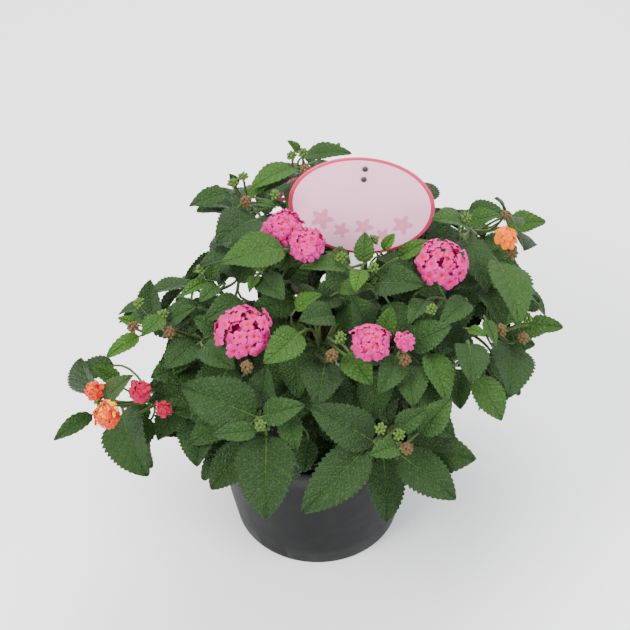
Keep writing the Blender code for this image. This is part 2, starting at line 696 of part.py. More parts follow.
class Skeleton:
    """The stem and twigs of one shoot, which stalks join at the nearest point."""

    def __init__(self, garden, node, foot, hub):
        self.garden = garden
        self.node = node
        self.points = []
        self.used = []
        ground = Vector((foot.x, foot.y, SOIL_TOP + 6.0 * MM))
        bottom = Vector((foot.x, foot.y, STEM_FOOT))
        lift = (hub - ground).length
        radii = [STEM_RADIUS, STEM_RADIUS, STEM_RADIUS * 0.94, STEM_RADIUS * 0.86,
                 STEM_RADIUS * 0.78, STEM_RADIUS * 0.7]
        for bow, swing, short in ((0.45, 0.0, 1.0), (0.3, 0.0, 1.0), (0.6, 0.0, 1.0),
                                  (0.4, 0.25, 1.0), (0.4, -0.25, 1.0), (0.55, 0.4, 1.0),
                                  (0.55, -0.4, 1.0), (0.2, 0.3, 1.0), (0.2, -0.3, 1.0),
                                  (0.45, 0.0, 0.85), (0.6, 0.3, 0.85), (0.6, -0.3, 0.85),
                                  (0.45, 0.0, 0.7), (0.6, 0.3, 0.7), (0.6, -0.3, 0.7)):
            sideways = Vector((-ground.y, ground.x, 0.0)).normalized() * swing * lift
            control = ground + Vector((0.0, 0.0, bow * lift)) + sideways
            top = ground.lerp(hub, short)
            curve = [bezier((ground, control, top), k / 4.0) for k in range(5)]
            if self.add([bottom] + curve, radii, 5):
                break
        else:
            raise RuntimeError(f"no clear way for the stem of {node}")
        self.points = self.points[len(self.points) // 3:]

    def add(self, path, radii, sides):
        """Add a clear tube and make its points places to join. Returns whether it is clear."""
        bm = bmesh.new()
        tube(bm, path, radii, sides)
        if not sound_skin(bm) or self.garden.hits(self.node, bm):
            bm.free()
            return False
        self.garden.add(self.node, bm, "leaf")
        for low, high in zip(path, path[1:]):
            for k in range(1, 5):
                self.points.append(low.lerp(high, k / 4.0))
        return True

    def nearest(self, target, along=Vector((0.0, 0.0, 0.0))):
        """The point to join for something at target, lower than it and behind its direction."""
        def cost(point):
            """Distance, with points above the target or already joined counted as further off."""
            crowd = sum(max(0.0, JOIN_SPACING - (point - spot).length) for spot in self.used)
            ahead = max(0.0, (point - target).dot(along) + 4.0 * MM)
            above = max(0.0, point.z - target.z + 4.0 * MM)
            return (point - target).length + above + 1.5 * ahead + 3.0 * crowd
        return min(self.points, key=cost)

    def reach(self, target, close):
        """Grow a twig until a joining point lies within close of the target."""
        start = self.nearest(target)
        gap = (target - start).length
        if gap <= close:
            return
        end = target.lerp(start, close * 0.8 / gap)
        side = (end - start).cross(Vector((0.0, 0.0, 1.0))).normalized()
        for rise, swing in ((0.12, 0.0), (0.25, 0.0), (0.0, 0.0), (0.1, 0.2), (0.1, -0.2),
                            (-0.1, 0.3), (-0.1, -0.3)):
            bend = start.lerp(end, 0.5) + Vector((0.0, 0.0, rise * gap)) + side * swing * gap
            path = [bezier((start, bend, end), k / 2.0) for k in range(3)]
            if self.add(path, [TWIG_RADIUS * 1.1, TWIG_RADIUS, TWIG_RADIUS * 0.9], 3):
                return

    def stalk(self, end, direction, cluster=0.0):
        """A clear stalk that bends into a direction at its end, bare or with a bud cluster."""
        start = self.nearest(end - direction * 30.0 * MM)
        reach = (end - start).length
        side = direction.orthogonal().normalized()
        for bow, swing in ((0.5, 0.0), (0.35, 0.0), (0.5, 0.2), (0.5, -0.2), (0.3, 0.3),
                           (0.3, -0.3), (0.7, 0.0)):
            bend = end - direction * bow * reach + side * swing * reach
            path = [bezier((start, bend, end), k / 2.0) for k in range(3)]
            if cluster:
                bm = bud_mesh(path, STALK_RADIUS, cluster)
            else:
                bm = bmesh.new()
                tube(bm, path, [STALK_RADIUS * 1.2, STALK_RADIUS, STALK_RADIUS], 3)
            if sound_skin(bm) and not self.garden.hits(self.node, bm):
                self.garden.add(self.node, bm, "leaf")
                self.used.append(start)
                return True
            bm.free()
        return False


def foot_places(targets, stake):
    """Where each stem leaves the soil: fanned out under its hub, and clear of the label's stake."""
    feet = []
    for target in targets:
        angle = math.atan2(target.y, target.x)
        far = math.hypot(target.x, target.y)
        feet.append([angle, (9.0 + 330.0 * far) * MM])
    spots = [Vector((r * math.cos(a), r * math.sin(a), 0.0)) for a, r in feet]
    for _ in range(60):
        for i, spot in enumerate(spots):
            for j, other in enumerate(spots):
                gap = (spot - other).length
                if i != j and gap < 9.0 * MM:
                    push = (spot - other).normalized() if gap > 0.0 else Vector((1.0, 0.0, 0.0))
                    spot += push * (9.0 * MM - gap) * 0.5
            away = spot - stake
            if away.length < 13.0 * MM:
                spot += away.normalized() * (13.0 * MM - away.length)
    return spots


class Garden:
    """Everything that grows, with a search tree for each piece so that no two nodes cross."""

    def __init__(self):
        self.obstacles = []
        self.nodes = {}
        self.finish = {}
        self.leaves = {}

    def hits(self, node, bm, own=False):
        """Whether a mesh comes too near to another node, or with own set, to its own node."""
        points = [v.co for v in bm.verts]
        low = Vector([min(p[i] for p in points) - CLEARANCE for i in range(3)])
        high = Vector([max(p[i] for p in points) + CLEARANCE for i in range(3)])
        grown = tree_of(bm, CLEARANCE)
        for other, floor, ceiling, tree in self.obstacles:
            if other == node and not own:
                continue
            if any(low[i] > ceiling[i] or high[i] < floor[i] for i in range(3)):
                continue
            if grown.overlap(tree):
                return True
        return False

    def add(self, node, bm, finish):
        """Give a solid to a node, and remember it as something to keep clear of."""
        points = [v.co for v in bm.verts]
        low = Vector([min(p[i] for p in points) for i in range(3)])
        high = Vector([max(p[i] for p in points) for i in range(3)])
        self.obstacles.append((node, low, high, tree_of(bm)))
        self.nodes.setdefault(node, []).append(bm)
        self.finish[node] = finish

    def place_leaf(self, node, skeleton, leaf):
        """Set a leaf of the front view on its shoot, moved until it is clear, or leave it out."""
        for scale in (1.0, 0.86, 0.72):
            for shift in (0, 5, -6, 10, -12, 16, -18, 22, -26, 30, -36, -46):
                for roll in (0.0, 14.0, -14.0):
                    placed = self.front_leaf(skeleton, leaf, shift * MM, roll, scale)
                    if self.try_leaf(node, placed):
                        skeleton.used.append(placed.root)
                        return

    def front_leaf(self, skeleton, leaf, shift, roll, scale):
        """A leaf in space from its place in the front view."""
        tip = on_mound(leaf.tip, leaf.depth, shift)
        flat = (Vector(leaf.tip) - Vector(leaf.base)).length * MM
        real = max(flat, leaf.width * MM * LENGTH_PER_WIDTH)
        back = math.sqrt(max(0.0, real ** 2 - flat ** 2))
        deep = nearness(on_mound(leaf.base, 0.62, shift))
        soft = nearness(on_mound(leaf.base, leaf.depth - 0.07, shift))
        near = max(deep, min(soft, nearness(tip) - back))
        base = in_view(leaf.base, near)
        tip = base.lerp(tip, scale)
        facing = outward(base) * 0.45 + TOWARD * 0.4 + Vector((0.0, 0.0, 0.35))
        return self.shape_leaf(skeleton, base, tip, facing, leaf.width * MM * scale, roll)

    def shape_leaf(self, skeleton, base, tip, facing, width, roll):
        """A placed leaf with its stalk's start at the nearest point of the shoot."""
        span = (tip - base).normalized()
        facing = Matrix.Rotation(math.radians(roll), 3, span) @ facing
        teeth = 4 if width > 29 * MM else (3 if width > 11 * MM else 2)
        root = skeleton.nearest(base, span)
        return Placed(root, base, tip, facing.normalized(), width, teeth)

    def try_leaf(self, node, placed):
        """Keep a leaf if it is clear of the rest."""
        blade = leaf_mesh(placed, stalk=False)
        whole = leaf_mesh(placed)
        free = sound_skin(whole) and not self.hits(node, blade, own=True)
        free = free and not self.hits(node, whole)
        if free and min(v.co.z for v in whole.verts) > SOIL_TOP + 6.0 * MM:
            self.add(node, whole, "leaf")
            self.leaves.setdefault(node, []).append(placed)
            blade.free()
            return True
        blade.free()
        whole.free()
        return False


def head_place(head, lift):
    """The centre and the facing of a head of the front view."""
    centre = on_mound(head.centre, head.depth, lift)
    return centre, head_frame(centre)


def head_solid(garden, node, centre, direction, size, florets, colour):
    """Add a head's solid unless it crosses something. Returns whether it fits."""
    bm = head_mesh(size, florets, turn_to(direction, centre))
    if garden.hits(node, bm):
        bm.free()
        return False
    garden.add(node, bm, colour)
    return True


def hub_of(shoot):
    """Where a shoot's main stem ends: behind the middle of its leaves."""
    spots = [leaf.base for leaf in shoot.leaves]
    middle = (sum(s[0] for s in spots) / len(spots), sum(s[1] for s in spots) / len(spots))
    return on_mound(middle, HUB_DEPTH)


def mound_direction(azimuth, height, scale):
    """The mound's point at an azimuth and a height (degrees), scaled about its centre."""
    a = math.radians(azimuth)
    e = math.radians(height)
    away = Vector((MOUND_RADIUS * math.cos(e) * math.cos(a),
                   MOUND_RADIUS * math.cos(e) * math.sin(a), MOUND_RISE * math.sin(e)))
    return MOUND_CENTRE + away * scale


def grow_round(garden, node, skeleton, hub, count, width, rng):
    """Leaves round the end of a stem in pairs, each pair turned a right angle from the last."""
    stem = outward(hub)
    side = stem.orthogonal().normalized()
    for k in range(count):
        pair, half = divmod(k, 2)
        start = hub - stem * 24.0 * MM * pair
        angle = math.pi * half + 0.5 * math.pi * pair + rng.uniform(-0.3, 0.3)
        way = Matrix.Rotation(angle, 3, stem) @ side
        way = (way + stem * 0.45 + Vector((0.0, 0.0, 0.15))).normalized()
        size = width * rng.uniform(0.85, 1.1) * MM
        for scale, lift, roll in ((1.0, 0, 0), (1.0, 8, 12), (1.0, -8, -12), (0.85, 0, 20),
                                  (0.85, 12, -20), (0.7, 6, 0), (0.7, -12, 25)):
            base = start + way * 15.0 * MM + stem * lift * MM
            tip = base + way * size * scale * LENGTH_PER_WIDTH
            facing = stem * 0.5 + Vector((0.0, 0.0, 1.0))
            placed = garden.shape_leaf(skeleton, base, tip, facing, size * scale, roll)
            placed.teeth = min(3, placed.teeth)
            if placed.shows_inside() and garden.try_leaf(node, placed):
                skeleton.used.append(placed.root)
                break


def make_label(garden):
    """The oval plate with its stake in one solid, and two rivets."""
    centre = in_view(LABEL_CENTRE, LABEL_NEAR)
    face = Vector((0.0, -math.cos(LABEL_LEAN), math.sin(LABEL_LEAN)))
    up = Vector((0.0, math.sin(LABEL_LEAN), math.cos(LABEL_LEAN)))
    up = Matrix.Rotation(LABEL_TILT, 3, face) @ up
    if up.x < 0.0:
        up = Matrix.Rotation(-2.0 * LABEL_TILT, 3, face) @ up
    side = up.cross(face).normalized()
    place = Matrix((side, up, face)).transposed().to_4x4()
    place.translation = centre
    plate = bmesh.new()
    ring = []
    for k in range(LABEL_SIDES):
        angle = 2.0 * math.pi * k / LABEL_SIDES
        ring.append(plate.verts.new((0.5 * LABEL_WIDTH * math.cos(angle),
                                     0.5 * LABEL_HEIGHT * math.sin(angle), -LABEL_THICK)))
    disc = plate.faces.new(ring)
    raised = bmesh.ops.extrude_face_region(plate, geom=[disc])["geom"]
    corners = [item for item in raised if isinstance(item, bmesh.types.BMVert)]
    bmesh.ops.translate(plate, vec=(0.0, 0.0, LABEL_THICK), verts=corners)
    bmesh.ops.recalc_face_normals(plate, faces=plate.faces)
    plate.transform(place)
    foot_length = (centre.z - STAKE_FOOT) / up.z
    stake = box((-0.5 * STAKE_WIDTH, -foot_length, -LABEL_THICK),
                (0.5 * STAKE_WIDTH, -0.3 * LABEL_HEIGHT, -0.2 * LABEL_THICK))
    stake.transform(place)
    garden.add("label", plate, "label")
    garden.add("label", stake, "label")
    for k, lift in enumerate((27.5, 20.0)):
        rivet = bmesh.new()
        bmesh.ops.create_cone(rivet, cap_ends=True, segments=10, radius1=1.9 * MM,
                              radius2=1.5 * MM, depth=1.0 * MM)
        bmesh.ops.translate(rivet, vec=(-1.0 * MM, lift * MM, 0.5 * MM + GAP), verts=rivet.verts)
        rivet.transform(place)
        garden.add(f"rivet_{k + 1}", rivet, "rivet")
    return place, foot_length


def box(low, high):
    """A box between two corners."""
    bm = bmesh.new()
    bmesh.ops.create_cube(bm, size=1.0)
    size = Vector(high) - Vector(low)
    bmesh.ops.scale(bm, vec=size, verts=bm.verts)
    bmesh.ops.translate(bm, vec=(Vector(low) + Vector(high)) * 0.5, verts=bm.verts)
    return bm


def turned(profile, sides):
    """A solid turned round Z from a profile whose first and last points lie on the axis."""
    bm = bmesh.new()
    rings = []
    for radius, height in profile[1:-1]:
        rings.append([bm.verts.new((radius * math.cos(2 * math.pi * k / sides),
                                    radius * math.sin(2 * math.pi * k / sides), height))
                      for k in range(sides)])
    first = bm.verts.new((0.0, 0.0, profile[0][1]))
    last = bm.verts.new((0.0, 0.0, profile[-1][1]))
    for k in range(sides):
        j = (k + 1) % sides
        bm.faces.new((first, rings[0][j], rings[0][k]))
        bm.faces.new((last, rings[-1][k], rings[-1][j]))
        for low, high in zip(rings, rings[1:]):
            bm.faces.new((low[k], low[j], high[j], high[k]))
    bmesh.ops.recalc_face_normals(bm, faces=bm.faces)
    return bm


def wall_radius(height):
    """The pot's outer radius at a height."""
    return BASE_RADIUS + (RIM_RADIUS - BASE_RADIUS) * height / POT_HEIGHT


def cut(target, cutters):
    """Cut solids out of an object and apply the cut."""
    store = bpy.data.collections.new(target.name + "_cutters")
    for k, bm in enumerate(cutters):
        bmesh.ops.recalc_face_normals(bm, faces=bm.faces)
        tool = add_object(f"{target.name}_cutter_{k}", bm, "pot")
        bpy.context.scene.collection.objects.unlink(tool)
        store.objects.link(tool)
    slice_out = target.modifiers.new("cut", "BOOLEAN")
    slice_out.operation = "DIFFERENCE"
    slice_out.operand_type = "COLLECTION"
    slice_out.collection = store
    slice_out.solver = "EXACT"
    graph = bpy.context.evaluated_depsgraph_get()
    graph.update()
    result = bpy.data.meshes.new_from_object(target.evaluated_get(graph))
    target.modifiers.remove(slice_out)
    target.data = result
    for tool in list(store.objects):
        bpy.data.objects.remove(tool)
    bpy.data.collections.remove(store)


def make_pot():
    """The tapered pot with its rolled rim and three drain notches."""
    lip_low = POT_HEIGHT - LIP_DEPTH
    profile = ((0.0, 0.0), (BASE_RADIUS - 1.5 * MM, 0.0), (BASE_RADIUS, 1.5 * MM),
               (wall_radius(lip_low), lip_low), (LIP_RADIUS, lip_low + 0.8 * MM),
               (LIP_RADIUS + 0.4 * MM, POT_HEIGHT - 1.0 * MM), (LIP_RADIUS - 1.0 * MM, POT_HEIGHT),
               (RIM_RADIUS - WALL, POT_HEIGHT - 0.4 * MM),
               (wall_radius(FLOOR) - WALL, FLOOR), (0.0, FLOOR))
    pot = add_object("pot", turned(profile, POT_SIDES), "pot")
    cutters = []
    for k in range(NOTCHES):
        bm = box((BASE_RADIUS - NOTCH_REACH, -0.5 * NOTCH_WIDTH, -5.0 * MM),
                 (BASE_RADIUS + NOTCH_REACH, 0.5 * NOTCH_WIDTH, NOTCH_HEIGHT))
        bm.transform(Matrix.Rotation(math.radians(NOTCH_FIRST + 360.0 / NOTCHES * k), 4, "Z"))
        cutters.append(bm)
    cut(pot, cutters)
    pot.data.shade_smooth()
    pot.data.set_sharp_from_angle(angle=math.radians(35.0))
    return pot


def make_soil(feet, label_place, foot_length):
    """The soil plug, with an uneven top and a plain hole for each stem and for the stake."""
    low = FLOOR + GAP
    inner = WALL + GAP * 1.6
    rim = wall_radius(SOIL_TOP) - inner
    bm = bmesh.new()
    sides = POT_SIDES
    rng = random.Random(5)
    bottom = [bm.verts.new(((wall_radius(low) - inner) * math.cos(2 * math.pi * k / sides),
                            (wall_radius(low) - inner) * math.sin(2 * math.pi * k / sides), low))
              for k in range(sides)]
    rings = []
    for ring in range(SOIL_RINGS, 0, -1):
        radius = rim * ring / SOIL_RINGS
        row = []
        for k in range(sides):
            angle = 2.0 * math.pi * k / sides
            swell = 0.0 if ring == SOIL_RINGS else rng.uniform(-SOIL_SWELL, SOIL_SWELL)
            row.append(bm.verts.new((radius * math.cos(angle), radius * math.sin(angle),
                                     SOIL_TOP + swell)))
        rings.append(row)
    crown = bm.verts.new((0.0, 0.0, SOIL_TOP))
    base = bm.verts.new((0.0, 0.0, low))
    for k in range(sides):
        j = (k + 1) % sides
        bm.faces.new((base, bottom[j], bottom[k]))
        bm.faces.new((bottom[k], bottom[j], rings[0][j], rings[0][k]))
        for outer, inside in zip(rings, rings[1:]):
            bm.faces.new((outer[k], outer[j], inside[j], inside[k]))
        bm.faces.new((rings[-1][k], rings[-1][j], crown))
    bmesh.ops.triangulate(bm, faces=bm.faces)
    bmesh.ops.recalc_face_normals(bm, faces=bm.faces)
    soil = add_object("soil", bm, "soil")
    cutters = []
    for foot in feet:
        hole = bmesh.new()
        tube(hole, [Vector((foot.x, foot.y, STEM_FOOT - GAP)),
                    Vector((foot.x, foot.y, SOIL_TOP + 20.0 * MM))],
             [STEM_RADIUS + HOLE_EASE] * 2, 6)
        cutters.append(hole)
    slot = box((-0.5 * STAKE_WIDTH - GAP, -foot_length - GAP, -LABEL_THICK - GAP),
               (0.5 * STAKE_WIDTH + GAP, -0.5 * LABEL_HEIGHT, -0.2 * LABEL_THICK + GAP))
    slot.transform(label_place)
    cutters.append(slot)
    cut(soil, cutters)
    return soil


def grow():
    """Lay out the label, stems, heads and leaves in order, each clear of what came before."""
    garden = Garden()
    label_place, foot_length = make_label(garden)
    hubs = [hub_of(shoot) for shoot in SHOOTS]
    hubs += [mound_direction(az, el, BACK_DEPTH) for _, az, el in BACK_SHOOTS]
    drop = (SOIL_TOP - label_place.translation.z) / label_place[2][1]
    stake = label_place @ Vector((0.0, drop, 0.0))
    feet = foot_places(hubs, Vector((stake.x, stake.y, 0.0)))
    names = [shoot.name for shoot in SHOOTS] + [entry[0] for entry in BACK_SHOOTS]
    skeletons = {}
    for name, hub, foot in zip(names, hubs, feet):
        skeletons[name] = Skeleton(garden, name, foot, hub)
    for shoot in SHOOTS:
        for leaf in shoot.leaves:
            middle = on_mound(leaf.base, leaf.depth - 0.18)
            skeletons[shoot.name].reach(middle, TWIG_REACH)
    grow_heads(garden, skeletons)
    grow_clusters(garden, skeletons)
    for shoot in SHOOTS:
        for leaf in shoot.leaves:
            garden.place_leaf(shoot.name, skeletons[shoot.name], leaf)
    rng = random.Random(11)
    for name, azimuth, height in BACK_SHOOTS:
        hub = mound_direction(azimuth, height, BACK_DEPTH)
        grow_round(garden, name, skeletons[name], hub, BACK_LEAVES, BACK_LEAF_WIDTH, rng)
    for shoot, hub in zip(SHOOTS, hubs):
        skeleton = skeletons[shoot.name]
        low = skeleton.points[0].lerp(hub, INNER_SHARE)
        low = min(skeleton.points, key=lambda point: (point - low).length)
        grow_round(garden, shoot.name, skeleton, low, INNER_LEAVES, INNER_LEAF_WIDTH, rng)
    return garden, feet, label_place, foot_length


def grow_heads(garden, skeletons):
    """Every flower head with the stalk that carries it."""
    jobs = []
    for shoot in SHOOTS:
        for head in shoot.heads:
            jobs.append((shoot.name, head, None))
    for head_name, name, azimuth, height in BACK_HEADS:
        spot = mound_direction(azimuth, height, 0.94)
        jobs.append((name, Head(head_name, (0, 0), BACK_HEAD_SIZE, BACK_FLORETS, "pink"), spot))
    for shoot_name, head, spot in jobs:
        size = head.size * MM
        for lift in (0, 4, 8, -4, 12, 16, 20, 26):
            if spot is None:
                centre, direction = head_place(head, lift * MM)
            else:
                direction = outward(spot)
                centre = spot + direction * lift * MM
            if head_solid(garden, head.name, centre, direction, size, head.florets, head.colour):
                end = centre - direction * (HEAD_FLOOR * size + 2.0 * GAP)
                skeletons[shoot_name].stalk(end, direction)
                break


def grow_clusters(garden, skeletons):
    """Green bud clusters and spent heads, each on its own stalk."""
    for shoot in SHOOTS:
        for spots, size in ((shoot.buds, BUD_SIZE), (shoot.spent, SPENT_SIZE)):
            for spot in spots:
                for lift in (0, 4, -4, 8, -8):
                    centre = on_mound(spot, 1.0, lift * MM)
                    direction = head_frame(centre)
                    if skeletons[shoot.name].stalk(centre, direction, size):
                        break


def main():
    """Build every piece."""
    clear_scene()
    make_pot()
    garden, feet, label_place, foot_length = grow()
    make_soil(feet, label_place, foot_length)
    for name, parts in garden.nodes.items():
        fuse(name, parts, garden.finish[name])


main()
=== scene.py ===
"""A potted lantana in full detail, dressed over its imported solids.

The layout of shoots, leaves and heads follows the same measured places and the same rules as
the solids, and each fine leaf, stem and floret then takes the place of its plain one.
"""

import json
import logging
import math
import random
from collections import defaultdict
from collections.abc import Callable, Iterator
from dataclasses import dataclass, field
from enum import Enum

import bmesh
import bpy
from mathutils import Matrix, Vector, noise
from mathutils.bvhtree import BVHTree

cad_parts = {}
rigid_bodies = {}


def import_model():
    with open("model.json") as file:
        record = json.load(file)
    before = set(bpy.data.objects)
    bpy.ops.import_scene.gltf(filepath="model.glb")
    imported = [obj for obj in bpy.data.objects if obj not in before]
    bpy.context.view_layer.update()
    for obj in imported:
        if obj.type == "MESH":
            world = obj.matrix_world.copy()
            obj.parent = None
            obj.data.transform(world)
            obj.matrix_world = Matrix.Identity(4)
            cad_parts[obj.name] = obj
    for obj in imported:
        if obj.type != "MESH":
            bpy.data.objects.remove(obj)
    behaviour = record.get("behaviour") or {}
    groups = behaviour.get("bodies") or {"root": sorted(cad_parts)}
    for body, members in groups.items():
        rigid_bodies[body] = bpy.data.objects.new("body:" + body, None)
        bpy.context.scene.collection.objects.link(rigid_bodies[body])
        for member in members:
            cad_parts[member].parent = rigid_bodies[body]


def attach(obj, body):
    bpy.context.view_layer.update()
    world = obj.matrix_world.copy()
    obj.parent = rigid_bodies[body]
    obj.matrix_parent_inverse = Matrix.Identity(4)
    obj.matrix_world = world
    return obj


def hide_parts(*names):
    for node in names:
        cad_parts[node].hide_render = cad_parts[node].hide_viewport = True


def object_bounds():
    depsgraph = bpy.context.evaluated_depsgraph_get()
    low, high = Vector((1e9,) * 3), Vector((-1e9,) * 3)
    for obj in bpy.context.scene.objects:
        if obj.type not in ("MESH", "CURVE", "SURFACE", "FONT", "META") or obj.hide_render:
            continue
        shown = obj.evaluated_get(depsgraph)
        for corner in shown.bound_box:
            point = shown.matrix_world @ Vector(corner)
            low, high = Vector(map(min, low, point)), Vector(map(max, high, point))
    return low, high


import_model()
CAD_BOX = [list(corner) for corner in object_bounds()]
LOG = logging.getLogger("lantana")

BMesh = bmesh.types.BMesh
Material = bpy.types.Material
Mesh = bpy.types.Mesh
Socket = bpy.types.NodeSocket

MM = 0.001
GAP = 0.3 * MM

# Pot
BASE_RADIUS = 62.5 * MM
RIM_RADIUS = 84.0 * MM
LIP_RADIUS = 86.5 * MM
POT_HEIGHT = 133.0 * MM
WALL = 1.8 * MM
FLOOR = 2.0 * MM
LIP_DEPTH = 8.0 * MM
NOTCH_WIDTH = 21.0 * MM
NOTCH_HEIGHT = 6.0 * MM
NOTCH_REACH = 12.0 * MM
NOTCH_FIRST = -90.0 - 31.7
NOTCHES = 3

# Soil
SOIL_TOP = 122.0 * MM
SOIL_SWELL = 2.2 * MM
STEM_FOOT = 84.0 * MM
STEM_SPACING = 9.0 * MM
STAKE_SPACING = 13.0 * MM
SOIL_CLEAR = 6.0 * MM

# Mound of foliage, and the front view that its layout is measured in
MOUND_CENTRE = Vector((0.0, 0.0, 203.0 * MM))
MOUND_RADIUS = 176.0 * MM
MOUND_RISE = 100.0 * MM
VIEW_DISTANCE = 1250.0 * MM
VIEW_TILT = math.radians(45.0)
TOWARD = Vector((0.0, -math.cos(VIEW_TILT), math.sin(VIEW_TILT)))
UPWARD = Vector((0.0, math.sin(VIEW_TILT), math.cos(VIEW_TILT)))
ACROSS = Vector((1.0, 0.0, 0.0))

# Leaves and stems
BLADE = 0.8 * MM
FOLD = math.radians(17.0)
BLADE_SPANS = 2
LENGTH_PER_WIDTH = 1.5
PETIOLE = 0.85 * MM
STEM_RADIUS = 2.1 * MM
TWIG_RADIUS = 1.2 * MM
STALK_RADIUS = 0.9 * MM
STALK_LENGTH = 30.0 * MM
CLEARANCE = 0.45 * MM
HUB_DEPTH = 0.70
TWIG_REACH = 30.0 * MM
JOIN_SPACING = 3.5 * MM

# Flower heads
FLORET_LOBES = 4
HEAD_SQUASH = 0.62
HEAD_FLOOR = 0.26
FLORET_REACH = 0.53
CORE_SHARE = 0.66
NECK_SPREAD = math.radians(7.0)
BUD_SIZE = 7.0 * MM
SPENT_SIZE = 8.0 * MM
BUD_SIDES = 6
BUD_PROFILE = ((0.0, 0.30), (0.28, 0.50), (0.62, 0.46), (0.86, 0.28), (1.0, 0.06))

# Label
LABEL_CENTRE = (31.0, 76.0)
LABEL_NEAR = 40.0 * MM
LABEL_LEAN = math.radians(18.0)
LABEL_TILT = math.radians(6.0)
LABEL_WIDTH = 100.0 * MM
LABEL_HEIGHT = 71.0 * MM
LABEL_THICK = 1.2 * MM
LABEL_SIDES = 40
STAKE_WIDTH = 9.0 * MM
STAKE_FOOT = 60.0 * MM
RIVET_LIFTS = (27.5, 20.0)

# Veins of a leaf: pairs, and how far they sweep forward to the margin
VEINS = 7.0
VEIN_SWEEP = 1.6

# Share of the label's height that the front view sees, leaf width from which a margin has all
# its teeth, and hairs on a square metre
LABEL_SHORTER = 0.89
FULL_TEETH = 29.0 * MM
HAIR_DENSITY = 60000.0

# Extra leaves that fill the mound: depths they are set at, tries for each, longest stalk
FILL_DEPTHS = (0.92, 0.8, 0.66, 0.5)
FILL_TRIES = 260
FILL_STALK = 42.0 * MM

# Places (mm) and radii in the front view that extra leaves leave open
OPEN_SPOTS = (
    (-58, 16, 9), (-82, 17, 8), (-125, -28, 14), (-112, 24, 9), (-150, -10, 9), (-74, 62, 7),
    (-82, 68, 5), (100, 84, 9), (88, 92, 8), (160, 22, 10), (-55, 107, 8), (100, -62, 11),
    (97, -47, 7), (113, -1, 7), (111, -19, 7), (-155, -83, 9), (-100, -97, 11), (-87, -100, 8),
)
# Extra leaves inside the plant: place along the stem, leaves and their width (mm)
FILL_ROUNDS = (
    (0.55, 2, 27.0), (0.85, 2, 28.0), (0.2, 2, 25.0), (1.0, 2, 24.0), (0.7, 2, 24.0),
    (0.45, 2, 22.0),
)


@dataclass(frozen=True)
class Leaf:
    """A leaf by its blade's base and tip in the front view, its width (all mm) and its depth."""
    base: tuple
    tip: tuple
    width: float
    depth: float = 1.0


@dataclass(frozen=True)
class Head:
    """A flower head: its centre in the front view, its diameter (mm), florets and colour."""
    name: str
    centre: tuple
    size: float
    florets: int
    colour: str
    depth: float = 1.0


@dataclass(frozen=True)
class Shoot:
    """A leafy shoot with its leaves, heads, green bud clusters and spent heads."""
    name: str
    leaves: tuple
    heads: tuple = ()
    buds: tuple = ()
    spent: tuple = ()


